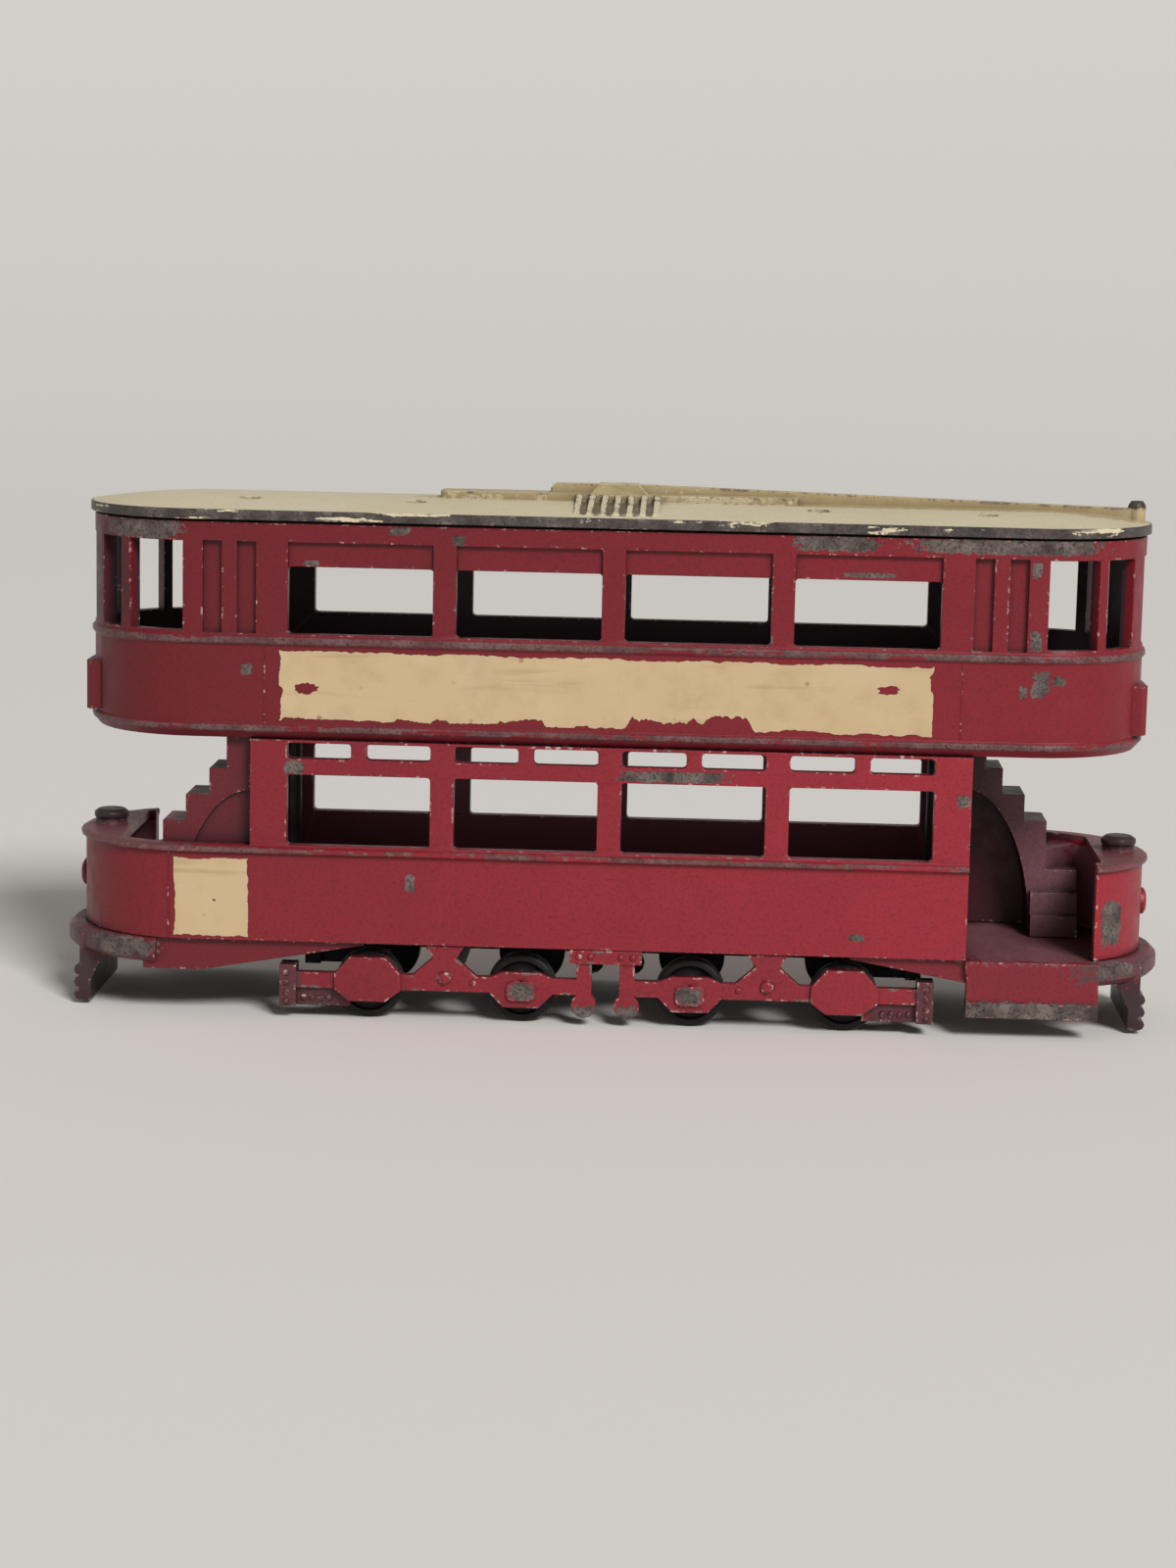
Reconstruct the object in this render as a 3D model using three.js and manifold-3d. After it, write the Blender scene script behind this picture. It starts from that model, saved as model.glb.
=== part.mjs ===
// Die-cast toy of a double-deck tramcar: castings, wheelsets and rivets, each a piece of its own.
// Millimetres, +X to the front of the car, +Y to its left, +Z up, z = 0 where the wheels stand.
// The car is the same from either end: what stands at the front left also stands at the rear right.

import * as THREE from 'three';
import { mergeVertices } from 'three/addons/utils/BufferGeometryUtils.js';
import Module from 'manifold-3d';

const wasm = await Module();
wasm.setup();

// Fits
const SEAT_GAP = 0.05; // between castings that stand on each other
const SIDE_GAP = 0.1; // between castings side by side
const RIVET_PLAY = 0.12; // round a rivet in its hole
const AXLE_PLAY = 0.15; // round an axle end in its axle box
const CLEAR = 1.0; // how far a cutter runs past the face that it cuts

// Plan of the body
const BODY_WIDTH = 16.8;
const WALL = 1.0;
const BAYS = 4; // windows on each side of a deck
const BAY_PITCH = 12.0;
const CORNER_POST = 1.8; // last bay to the end of the saloon
const PLATFORM_LENGTH = 13.27; // end of the saloon to the front of the dash
const CANOPY_LENGTH = 12.55; // end of the saloon to the front of the upper deck
const ROOF_OVERHANG = 0.3;
const BUMPER_PROUD = 1.28; // in front of the dash
const BUMPER_OVERHANG = 0.25; // beyond the sides

// Heights, stacked from the ground up
const WHEEL_RADIUS = 2.5;
const WHEEL_HEADROOM = 0.45; // wheel to the saloon floor above it
const SALOON_FLOOR = 0.9;
const PLATFORM_RISE = 0.2; // saloon floor's underside to the platform floor's top
const PLATFORM = 0.9;
const LOWER_PANEL = 6.3; // panel bottom to waist rail
const WAIST_RAIL = 0.65;
const SILL = 0.1; // rail or belt to the window above it
const LOWER_WINDOW_HEIGHT = 5.15;
const TRANSOM = 1.15;
const VENT_HEIGHT = 1.15;
const TOP_RAIL = 0.2;
const DECK_FLOOR = 1.0;
const CANOPY_LIP = 0.4; // deck underside to the lower moulding
const LOWER_MOULDING = 0.7;
const UPPER_PANEL = 5.55;
const BELT = 0.8;
const UPPER_WINDOW_HEIGHT = 4.8;
const FASCIA = 1.75; // over the upper windows
const CANTRAIL = 1.35;
const ROOF_GAP = 0.18; // dark line between cantrail and roof
const ROOF_RIM = 0.7;
const ROOF_CAMBER = 0.7;

// Windows, mouldings and panels
const LOWER_WINDOW_WIDTH = 10.3;
const UPPER_WINDOW_WIDTH = 10.35;
const WINDOW_CORNER = 0.25;
const VENT_BAR = 1.1; // between the two vents of a bay
const VENT_CORNER = 0.25;
const RAIL_PROUD = 0.35;
const MOULDING_PROUD = 0.22;
const BEAD_SLOPE = 0.3; // share of a moulding's height that each sloping edge takes
const LIP_INSET = 0.35;
const FASCIA_RECESS = 0.35;
const FLUTE_DEPTH = 0.45;
const FLUTE = { first: 1.45, second: 3.9, width: 1.35 }; // from the last bay outwards
const FLUTED_PANEL = 6.7; // last bay to the first end window
const END_SILL = 0.2; // belt top to the end windows
const END_HEAD = 0.05; // end windows to the cantrail
const STAIR_PILLAR = { from: 34.5, to: 41 }; // degrees round the end from the side wall
const DOOR_PILLAR = { from: 31.5, to: 37 };
const FRONT_PILLAR = { from: 58, to: 74 };
const INDICATOR_BOX = { width: 7.6, height: 3.6, proud: 0.15, chamfer: 0.4, lift: 0.1 };
const DOOR_PANEL = { width: 4.8, depth: 0.3, edge: 0.7 };

// Dash fittings, placed back from the front of the dash
const SHELF = { back: 3.57, thickness: 0.6 };
const ENTRANCE_RETURN = 4.07; // how far the dash comes round on the entrance side
const KNOB = {
  back: 1.77, radius: 1.3, stem: 1.2, stemHeight: 0.5, crown: 0.95, shoulder: 0.85, height: 1.1,
};
const LAMP = { height: 3.2, radius: 1.0, lens: 0.7, rim: 0.2, proud: 0.4 }; // height above the panel bottom

// Roof fittings
const PLANK = { length: 26, width: 3.2, height: 0.5, corner: 0.8 };
const POLE = { tail: 5.0, width: 0.9, height: 0.7, slope: 0.35, tip: 0.3, back: 1.1 };
const POLE_HEAD = { radius: 0.65, crown: 0.43, shoulder: 0.5, height: 0.85 };
const POLE_BASE = { length: 4.2, width: 1.9, height: 0.75, slope: 0.7 };
const SLATS = { count: 7, pitch: 0.94, width: 0.42, margin: 1.2, drop: 0.25 };
const ROOF_HOLLOW = { wall: 1.3, depth: 0.3 };
const ROOF_LIP = { drop: 0.45, thickness: 0.8 }; // inside the cantrail, below its top
const ROOF_POST_RADIUS = 1.1;
const ROOF_MARK = { places: [14.5, 26.5], side: 4.0, radius: 0.8, level: 0.3 };

// Underframe
const PLATFORM_LAP = 1.2; // platform under the saloon floor
const UNDER_INSET = 0.5; // bearers and platform ends, behind the side panels
// Bearers begin past the outer axle and are deepest past the end of the saloon
const BEARER = { start: 0.3, deepest: 3.6, depth: 2.3, width: 1.0, heel: 0.2 };
const BUMPER = { height: 1.8, round: 0.45, back: 6.47 };
const STEP = { riser: 2.95, board: 1.1, proud: 0.25, depth: 1.6, past: 0.33 };
const LIFEGUARD = { back: 1.17, thickness: 0.8, width: 11, lift: 0.3 };
const GUARD_BARS = { count: 3, radius: 0.42, pitch: 0.92 };
const BRACE = { reach: 1.8, thickness: 0.7 };
const DECK_POST = { inset: 0.9, radius: 0.8 }; // from the bulkhead's inner face to the post's middle
const BOLSTER = { width: 1.8, depth: 2.8 };

// Truck side frames, with heights from the axle's middle
const TRUCK_INSET = 8.6; // end of the saloon to the outer axle
const WHEELBASE = 11.1;
const FRAME_INSET = 0.2; // frame behind the side panel
const FRAME_THICKNESS = 0.8;
const BAR = { below: 0.2, above: 0.95 };
const OUTER_BOX = { width: 4.8, flat: 2.6, above: 2.2, below: 1.05, proud: 0.3 };
const INNER_BOX = { width: 4.6, flat: 2.6, above: 1.35, below: 1.25 };
const INNER_BOSS = { width: 2.1, height: 1.45, corner: 0.5, proud: 0.25 };
const NECK = { top: 2.9, waist: 1.7, foot: 4.6, flare: 0.9 };
const FRAME_END = { beyond: 6.4, length: 1.2, below: 1.55, above: 1.5, depth: 1.6, proud: 0.15 };
const END_STRIP_SETBACK = 0.35;
const CENTRE_PLATE = { width: 5.2, height: 1.0, proud: 0.15 };
const LEG = { place: 1.55, width: 1.1, foot: 0.93, lift: 0.62 }; // foot is a radius, lift is over the ground

// Staircase on each platform, from the bulkhead outwards and from the platform floor up
const STAIR_WIDTH = 4.4; // inner string to outer string
const STAIR_POST = 1.75; // depth of the newel under the deck
const TREADS = { count: 3, first: 3.0, going: 1.7, top: 12.35, rise: 1.95 }; // from the top tread down
const STAIR_ARCH = { reach: 5.3, height: 10.8, web: 0.5, recess: 0.3 };
const ENTRY = { reach: 8.8, rise: 1.6, going: 0.85, steps: 2 };

// Wheelsets and rivets
const AXLE_RADIUS = 0.6;
const AXLE_END_PLAY = 0.15;
const WHEEL_WIDTH = 1.4;
const WHEEL_SIDE_PLAY = 0.25; // wheel to truck frame
const WHEEL_RIM = { chamfer: 0.2, dish: 0.3, width: 0.55 };
const WHEEL_HUB = 1.1;
const WHEEL_BORE = 0.07; // bore radius over the axle's
const RIVET = { radius: 0.45, head: 0.75, crown: 0.45, edge: 0.12, height: 0.35, grip: 2.2 };
const FRAME_RIVET = { radius: 0.3, head: 0.5, crown: 0.28, edge: 0.1, height: 0.25, grip: 2.2 };
const FRAME_RIVET_LIFT = 0.8; // above the axle's middle

// Facets
const END_SEGMENTS = 18; // round each end of the car
const ROUND_SEGMENTS = 12; // round pins, posts and knobs
const SMALL_SEGMENTS = 8; // round rivets and small marks
const WHEEL_SEGMENTS = 16;
const CORNER_SEGMENTS = 2;
const VENT_SEGMENTS = 1;
const ARCH_SEGMENTS = 8;
const CAMBER_STEPS = 4;

// Places along and across the car that follow from the sizes above
const halfWidth = BODY_WIDTH / 2;
const innerWidth = halfWidth - WALL;
const lastBay = (BAYS * BAY_PITCH) / 2;
const saloonHalf = lastBay + CORNER_POST;
const dashHalf = saloonHalf + PLATFORM_LENGTH;
const deckHalf = saloonHalf + CANOPY_LENGTH;
const shelfEdge = dashHalf - SHELF.back;
const entranceEnd = dashHalf - ENTRANCE_RETURN;
const roofPost = lastBay + FLUTED_PANEL / 2;
const deckPost = saloonHalf - WALL - DECK_POST.inset;
const outerAxle = saloonHalf - TRUCK_INSET;
const innerAxle = outerAxle - WHEELBASE;
const bolster = (outerAxle + innerAxle) / 2;
const underWidth = halfWidth - UNDER_INSET;
const frameOuter = halfWidth - FRAME_INSET;
const frameInner = frameOuter - FRAME_THICKNESS;
const bayCentres = Array.from({ length: BAYS }, (_, bay) => (bay - (BAYS - 1) / 2) * BAY_PITCH);

// Levels from the ground up
const axleHeight = WHEEL_RADIUS;
const floorBottom = 2 * WHEEL_RADIUS + WHEEL_HEADROOM;
const floorLevel = floorBottom + PLATFORM_RISE;
const panelBottom = floorLevel + SEAT_GAP;
const waistBottom = panelBottom + LOWER_PANEL;
const waistTop = waistBottom + WAIST_RAIL;
const lowerSill = waistTop + SILL;
const ventBottom = lowerSill + LOWER_WINDOW_HEIGHT + TRANSOM;
const lowerTop = ventBottom + VENT_HEIGHT + TOP_RAIL;
const deckBottom = lowerTop + SEAT_GAP;
const deckFloorTop = deckBottom + DECK_FLOOR;
const mouldingBottom = deckBottom + CANOPY_LIP;
const mouldingTop = mouldingBottom + LOWER_MOULDING;
const beltBottom = mouldingTop + UPPER_PANEL;
const beltTop = beltBottom + BELT;
const upperSill = beltTop + SILL;
const upperHead = upperSill + UPPER_WINDOW_HEIGHT;
const fasciaTop = upperHead + FASCIA;
const deckTop = fasciaTop + CANTRAIL;
const roofBottom = deckTop + ROOF_GAP;
const rimTop = roofBottom + ROOF_RIM;
const crown = rimTop + ROOF_CAMBER;

// Materials
function finish(color, roughness, metalness) {
  return () => new THREE.MeshStandardMaterial({ color, roughness, metalness });
}

const redEnamel = finish(0x8f2b38, 0.45, 0.0);
const creamEnamel = finish(0xd3caae, 0.5, 0.0);
const blackenedSteel = finish(0x2b2a2c, 0.5, 0.6);
const brightSteel = finish(0x8a8a8c, 0.35, 0.9);

// Solids: closed meshes that can be joined and cut
function solid(geometry) {
  const bare = geometry.clone();
  bare.deleteAttribute('normal');
  bare.deleteAttribute('uv');
  const merged = mergeVertices(bare, 1e-5);
  return new wasm.Manifold(new wasm.Mesh({
    numProp: 3,
    vertProperties: new Float32Array(merged.attributes.position.array),
    triVerts: new Uint32Array(merged.index.array),
  }));
}

const join = (...solids) => solids.flat().reduce((whole, piece) => whole.add(piece));
const cut = (whole, ...cutters) => cutters.flat().reduce((rest, cutter) => rest.subtract(cutter), whole);

function toMesh(name, body, material) {
  const { vertProperties, triVerts } = body.getMesh();
  const geometry = new THREE.BufferGeometry();
  geometry.setAttribute('position', new THREE.BufferAttribute(new Float32Array(vertProperties), 3));
  geometry.setIndex(new THREE.BufferAttribute(new Uint32Array(triVerts), 1));
  geometry.computeVertexNormals();
  const mesh = new THREE.Mesh(geometry, material());
  mesh.name = name;
  return mesh;
}

function boxGeometry([x0, x1], [y0, y1], [z0, z1]) {
  const geometry = new THREE.BoxGeometry(x1 - x0, y1 - y0, z1 - z0);
  return geometry.translate((x0 + x1) / 2, (y0 + y1) / 2, (z0 + z1) / 2);
}

const box = (x, y, z) => solid(boxGeometry(x, y, z));

// A piece at the front and its twin at the rear, half a turn round the car's middle
const ends = (geometry) => [solid(geometry), solid(geometry.clone().rotateZ(Math.PI))];

// A mirror image along the car, with its faces still turned outwards
function mirrored(geometry) {
  const image = mergeVertices(geometry).scale(-1, 1, 1);
  image.index.array.reverse();
  return image;
}

// The same piece in all four corners of the car
const corners = (geometry) => [...ends(geometry), ...ends(mirrored(geometry))];

const shapeOf = (points) => new THREE.Shape(points.map(([x, y]) => new THREE.Vector2(x, y)));

function extrude(shape, depth, curveSegments = CORNER_SEGMENTS) {
  return new THREE.ExtrudeGeometry(shape, { depth, bevelEnabled: false, curveSegments });
}

// A plan outline raised from z0 to z1
const planPrism = (shape, [z0, z1], segments) => extrude(shape, z1 - z0, segments).translate(0, 0, z0);

// A side outline (x, z) drawn out from y0 to y1
function sidePrism(shape, [y0, y1], segments) {
  return extrude(shape, y1 - y0, segments).rotateX(Math.PI / 2).translate(0, y1, 0);
}

// An end outline (y, z) drawn out from x0 to x1
function endPrism(shape, [x0, x1], segments) {
  return extrude(shape, x1 - x0, segments).rotateX(Math.PI / 2).rotateZ(Math.PI / 2).translate(x0, 0, 0);
}

function roundedRectangle(x0, x1, y0, y1, radius) {
  const shape = new THREE.Shape();
  shape.moveTo(x0 + radius, y0);
  shape.lineTo(x1 - radius, y0);
  shape.absarc(x1 - radius, y0 + radius, radius, -Math.PI / 2, 0);
  shape.lineTo(x1, y1 - radius);
  shape.absarc(x1 - radius, y1 - radius, radius, 0, Math.PI / 2);
  shape.lineTo(x0 + radius, y1);
  shape.absarc(x0 + radius, y1 - radius, radius, Math.PI / 2, Math.PI);
  shape.lineTo(x0, y0 + radius);
  shape.absarc(x0 + radius, y0 + radius, radius, Math.PI, 1.5 * Math.PI);
  return shape;
}

// The plan of a deck: straight sides with half-round ends
function stadium(halfLength, radius) {
  const points = [];
  for (const end of [0, 1]) {
    for (let i = 0; i <= END_SEGMENTS; i += 1) {
      const angle = -Math.PI / 2 + end * Math.PI + (i / END_SEGMENTS) * Math.PI;
      const centre = (1 - 2 * end) * (halfLength - radius);
      points.push(new THREE.Vector2(centre + radius * Math.cos(angle), radius * Math.sin(angle)));
    }
  }
  return points;
}

const grown = (halfLength, radius, amount) => stadium(halfLength + amount, radius + amount);

// A wall with a moulded profile: rings of one plan, each grown or shrunk by its own amount
function loft(halfLength, radius, profile) {
  const outlines = profile.map(([amount]) => grown(halfLength, radius, amount));
  const count = outlines[0].length;
  const positions = outlines.flatMap((outline, ring) => outline.flatMap((p) => [p.x, p.y, profile[ring][1]]));
  const index = [];
  for (let ring = 0; ring + 1 < profile.length; ring += 1) {
    for (let i = 0; i < count; i += 1) {
      const a = ring * count + i;
      const b = ring * count + ((i + 1) % count);
      index.push(a, b, b + count, a, b + count, a + count);
    }
  }
  const top = (profile.length - 1) * count;
  for (const [a, b, c] of THREE.ShapeUtils.triangulateShape(outlines[0], [])) {
    index.push(c, b, a, top + a, top + b, top + c);
  }
  const geometry = new THREE.BufferGeometry();
  geometry.setAttribute('position', new THREE.Float32BufferAttribute(positions, 3));
  geometry.setIndex(index);
  return geometry;
}

const core = (halfLength, radius, [z0, z1]) => solid(loft(halfLength, radius, [[0, z0], [0, z1]]));

// A half-round moulding as rings of a profile
const bead = (bottom, height, proud) => [
  [0, bottom],
  [proud, bottom + height * BEAD_SLOPE],
  [proud, bottom + height * (1 - BEAD_SLOPE)],
  [0, bottom + height],
];

const turned = (profile, segments) => new THREE.LatheGeometry(
  profile.map(([radius, height]) => new THREE.Vector2(radius, height)), segments);

// Turned pieces about the car's height, width and length
const upright = (profile, segments = ROUND_SEGMENTS) => turned(profile, segments).rotateX(Math.PI / 2);
const crosswise = (profile, segments = ROUND_SEGMENTS) => turned(profile, segments);
const lengthwise = (profile, segments = ROUND_SEGMENTS) => turned(profile, segments).rotateZ(-Math.PI / 2);
const pin = (radius, start, end) => [[0, start], [radius, start], [radius, end], [0, end]];

// Window openings of one deck, through both sides
function windows(width, bottom, height, corner) {
  return bayCentres.map((middle) => solid(sidePrism(
    roundedRectangle(middle - width / 2, middle + width / 2, bottom, bottom + height, corner),
    [-halfWidth - CLEAR, halfWidth + CLEAR])));
}

// Hole for a rivet along the height or the width of the car, between two levels
const rivetHole = (rivet, start, end) => pin(rivet.radius + RIVET_PLAY, start, end);

// Roof: rim and cambered top, with the plank, the folded pole and its base, and the louvre slats
function roof() {
  const halfLength = deckHalf + ROOF_OVERHANG;
  const radius = halfWidth + ROOF_OVERHANG;
  const camber = Array.from({ length: CAMBER_STEPS }, (_, step) => {
    const share = (step + 1) / CAMBER_STEPS;
    return [-share * (radius - POLE.width), rimTop + ROOF_CAMBER * Math.sin((share * Math.PI) / 2)];
  });
  const shell = solid(loft(halfLength, radius, [[0, roofBottom], [0, rimTop], ...camber]));
  const hollow = core(halfLength - ROOF_HOLLOW.wall, radius - ROOF_HOLLOW.wall,
    [roofBottom - CLEAR, roofBottom + ROOF_HOLLOW.depth]);
  const lipLevels = [deckTop - ROOF_LIP.drop, rimTop];
  const lipEnd = deckHalf - WALL - SIDE_GAP;
  const lipSide = innerWidth - SIDE_GAP;
  const lip = cut(core(lipEnd, lipSide, lipLevels), core(
    lipEnd - ROOF_LIP.thickness, lipSide - ROOF_LIP.thickness,
    [lipLevels[0] - CLEAR, roofBottom + ROOF_HOLLOW.depth]));
  const marks = ROOF_MARK.places.flatMap((place) => corners(
    upright(pin(ROOF_MARK.radius, rimTop + ROOF_MARK.level, crown + CLEAR), SMALL_SEGMENTS)
      .translate(place, ROOF_MARK.side, 0)));
  const plankTop = crown + PLANK.height;
  const plankPlan = roundedRectangle(
    -PLANK.length / 2, PLANK.length / 2, -PLANK.width / 2, PLANK.width / 2, PLANK.corner);
  const plank = solid(planPrism(plankPlan, [rimTop, plankTop]));
  const poleTip = halfLength - POLE.back;
  const poleTop = plankTop + POLE.height;
  const pole = solid(sidePrism(shapeOf([
    [-POLE.tail, rimTop], [poleTip, rimTop], [poleTip, crown + POLE.tip], [POLE_BASE.length / 2, poleTop],
    [POLE.slope - POLE.tail, poleTop], [-POLE.tail, poleTop - POLE.slope],
  ]), [-POLE.width / 2, POLE.width / 2]));
  const head = solid(upright([
    [0, rimTop], [POLE_HEAD.radius, rimTop], [POLE_HEAD.radius, crown + POLE_HEAD.shoulder],
    [POLE_HEAD.crown, crown + POLE_HEAD.height], [0, crown + POLE_HEAD.height],
  ]).translate(poleTip, 0, 0));
  const baseFoot = POLE_BASE.length / 2;
  const baseTop = baseFoot - POLE_BASE.slope;
  const base = solid(sidePrism(shapeOf([
    [-baseFoot, rimTop], [baseFoot, rimTop], [baseFoot, plankTop],
    [baseTop, plankTop + POLE_BASE.height], [-baseTop, plankTop + POLE_BASE.height], [-baseFoot, plankTop],
  ]), [-POLE_BASE.width / 2, POLE_BASE.width / 2]));
  const slatEnd = radius - SLATS.margin;
  const slatFoot = roofBottom + ROOF_RIM / 2;
  const slatSection = shapeOf([
    [-slatEnd, slatFoot], [slatEnd, slatFoot], [slatEnd, rimTop + SLATS.drop], [PLANK.width / 2, plankTop],
    [-PLANK.width / 2, plankTop], [-slatEnd, rimTop + SLATS.drop],
  ]);
  const slats = Array.from({ length: SLATS.count }, (_, slat) => {
    const middle = (slat - (SLATS.count - 1) / 2) * SLATS.pitch;
    return solid(endPrism(slatSection, [middle - SLATS.width / 2, middle + SLATS.width / 2]));
  });
  const postBottom = deckFloorTop + SEAT_GAP;
  const posts = ends(upright(pin(ROOF_POST_RADIUS, postBottom, rimTop)).translate(roofPost, 0, 0));
  const bores = ends(
    upright(rivetHole(RIVET, postBottom - CLEAR, postBottom + RIVET.grip)).translate(roofPost, 0, 0));
  return cut(join(cut(shell, hollow, marks), lip, plank, pole, head, base, slats, posts), bores);
}

// Upper deck: floor and walls with mouldings, pillared side windows, fluted panels and windowed ends
function upperDeck() {
  const shell = solid(loft(deckHalf, halfWidth, [
    [-LIP_INSET, deckBottom],
    ...bead(mouldingBottom, LOWER_MOULDING, MOULDING_PROUD),
    ...bead(beltBottom, BELT, MOULDING_PROUD),
    [0, deckTop],
  ]));
  const inside = core(deckHalf - WALL, innerWidth, [deckFloorTop, deckTop + CLEAR]);
  const outside = halfWidth + CLEAR;
  const fascias = bayCentres.flatMap((middle) => ends(boxGeometry(
    [middle - UPPER_WINDOW_WIDTH / 2, middle + UPPER_WINDOW_WIDTH / 2],
    [halfWidth - FASCIA_RECESS, outside], [upperHead - WINDOW_CORNER, fasciaTop])));
  const flutes = [FLUTE.first, FLUTE.second].flatMap((start) => corners(boxGeometry(
    [lastBay + start, lastBay + start + FLUTE.width],
    [halfWidth - FLUTE_DEPTH, outside], [upperSill, fasciaTop])));
  const endCentre = deckHalf - halfWidth;
  const sidePost = THREE.MathUtils.radToDeg(Math.atan2(lastBay + FLUTED_PANEL - endCentre, halfWidth));
  const opening = ([from, to]) => {
    const [near, far] = [from, to].map((angle) => {
      const turn = THREE.MathUtils.degToRad(90 - angle);
      return [endCentre + BODY_WIDTH * Math.cos(turn), BODY_WIDTH * Math.sin(turn)];
    });
    return planPrism(shapeOf([[endCentre, 0], far, near]), [beltTop + END_SILL, fasciaTop - END_HEAD]);
  };
  const endWindows = [
    [sidePost, STAIR_PILLAR.from],
    [STAIR_PILLAR.to, FRONT_PILLAR.from],
    [FRONT_PILLAR.to, 180 - FRONT_PILLAR.to],
    [180 - FRONT_PILLAR.from, 180 - DOOR_PILLAR.to],
    [180 - DOOR_PILLAR.from, 180 - sidePost],
  ].flatMap((span) => ends(opening(span)));
  const face = deckHalf + INDICATOR_BOX.proud;
  const edge = face - INDICATOR_BOX.chamfer;
  const back = deckHalf - WALL;
  const side = INDICATOR_BOX.width / 2;
  const boxBottom = mouldingTop + INDICATOR_BOX.lift;
  const indicators = ends(planPrism(shapeOf([
    [back, -side], [edge, -side], [face, INDICATOR_BOX.chamfer - side],
    [face, side - INDICATOR_BOX.chamfer], [edge, side], [back, side],
  ]), [boxBottom, boxBottom + INDICATOR_BOX.height]));
  const rivetHoles = [roofPost, deckPost].flatMap((place) => ends(
    upright(rivetHole(RIVET, deckBottom - CLEAR, deckFloorTop + CLEAR)).translate(place, 0, 0)));
  const sideWindows = windows(UPPER_WINDOW_WIDTH, upperSill, UPPER_WINDOW_HEIGHT, WINDOW_CORNER);
  return cut(join(shell, indicators), inside, fascias, flutes, sideWindows, endWindows, rivetHoles);
}

// Lower deck: saloon with windows and vents between two bulkheads, and a dash round each platform
function lowerDeck() {
  const skirt = solid(loft(dashHalf, halfWidth, [
    [0, panelBottom], ...bead(waistBottom, WAIST_RAIL, RAIL_PROUD),
  ]));
  const saloonLevels = [waistTop - WAIST_RAIL / 2, lowerTop];
  const saloon = box([-saloonHalf, saloonHalf], [-halfWidth, halfWidth], saloonLevels);
  const bottom = panelBottom - CLEAR;
  const wholeHeight = [bottom, lowerTop + CLEAR];
  const saloonInside = box([WALL - saloonHalf, saloonHalf - WALL], [-innerWidth, innerWidth], wholeHeight);
  const platformPlan = core(dashHalf - WALL, innerWidth, wholeHeight);
  const platformInsides = [
    ...ends(boxGeometry([saloonHalf, shelfEdge], [-halfWidth, halfWidth], wholeHeight)),
    ...ends(boxGeometry(
      [saloonHalf, dashHalf], [-halfWidth, halfWidth], [bottom, waistTop - SHELF.thickness])),
  ].map((block) => platformPlan.intersect(block));
  const entrances = ends(boxGeometry(
    [saloonHalf, entranceEnd], [-halfWidth - CLEAR, 0], [bottom, waistTop + CLEAR]));
  const ventWidth = (LOWER_WINDOW_WIDTH - VENT_BAR) / 2;
  const vents = bayCentres.flatMap((middle) => [-1, 1].map((half) => {
    const place = middle + (half * (ventWidth + VENT_BAR)) / 2;
    const outline = roundedRectangle(place - ventWidth / 2, place + ventWidth / 2,
      ventBottom, ventBottom + VENT_HEIGHT, VENT_CORNER);
    return solid(sidePrism(outline, [-halfWidth - CLEAR, halfWidth + CLEAR], VENT_SEGMENTS));
  }));
  const doorHalf = DOOR_PANEL.width / 2;
  const doorFields = [[panelBottom, waistBottom], [waistTop, lowerTop]];
  const doorPanels = doorFields.flatMap(([low, high]) => ends(boxGeometry(
    [saloonHalf - DOOR_PANEL.depth, saloonHalf + CLEAR], [-doorHalf, doorHalf],
    [low + DOOR_PANEL.edge, high - DOOR_PANEL.edge])));
  const knobs = ends(upright([
    [0, waistTop - SHELF.thickness / 2], [KNOB.stem, waistTop - SHELF.thickness / 2],
    [KNOB.stem, waistTop + KNOB.stemHeight], [KNOB.radius, waistTop + KNOB.stemHeight],
    [KNOB.radius, waistTop + KNOB.shoulder], [KNOB.crown, waistTop + KNOB.height],
    [0, waistTop + KNOB.height],
  ]).translate(dashHalf - KNOB.back, 0, 0));
  const lamps = ends(lengthwise([
    [0, dashHalf - WALL / 2], [LAMP.radius, dashHalf - WALL / 2], [LAMP.radius, dashHalf + LAMP.rim],
    [LAMP.lens, dashHalf + LAMP.proud], [0, dashHalf + LAMP.proud],
  ]).translate(0, 0, panelBottom + LAMP.height));
  const lowerWindows = windows(LOWER_WINDOW_WIDTH, lowerSill, LOWER_WINDOW_HEIGHT, WINDOW_CORNER);
  const hollows = [saloonInside, platformInsides, entrances, lowerWindows, vents, doorPanels];
  return join(cut(join(skirt, saloon), ...hollows), knobs, lamps);
}

// Bumpers: a rounded collar round each platform, cut off where the step or the side panel begins
function bumpers(stepEnd) {
  const reach = dashHalf + BUMPER_PROUD;
  const radius = halfWidth + BUMPER_OVERHANG;
  const top = panelBottom;
  const bottom = top - BUMPER.height;
  const ring = solid(loft(reach, radius, [
    [-BUMPER.round, bottom], [0, bottom + BUMPER.round], [0, top - BUMPER.round], [-BUMPER.round, top],
  ]));
  const levels = [bottom - CLEAR, top + CLEAR];
  const zones = [
    ...ends(boxGeometry([dashHalf - BUMPER.back, reach + CLEAR], [0, radius + CLEAR], levels)),
    ...ends(boxGeometry([stepEnd, reach + CLEAR], [-radius - CLEAR, radius + CLEAR], levels)),
  ];
  const dashSpace = core(dashHalf + SIDE_GAP, halfWidth + SIDE_GAP, [floorLevel, top + CLEAR]);
  return zones.map((zone) => cut(ring.intersect(zone), dashSpace));
}

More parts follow.
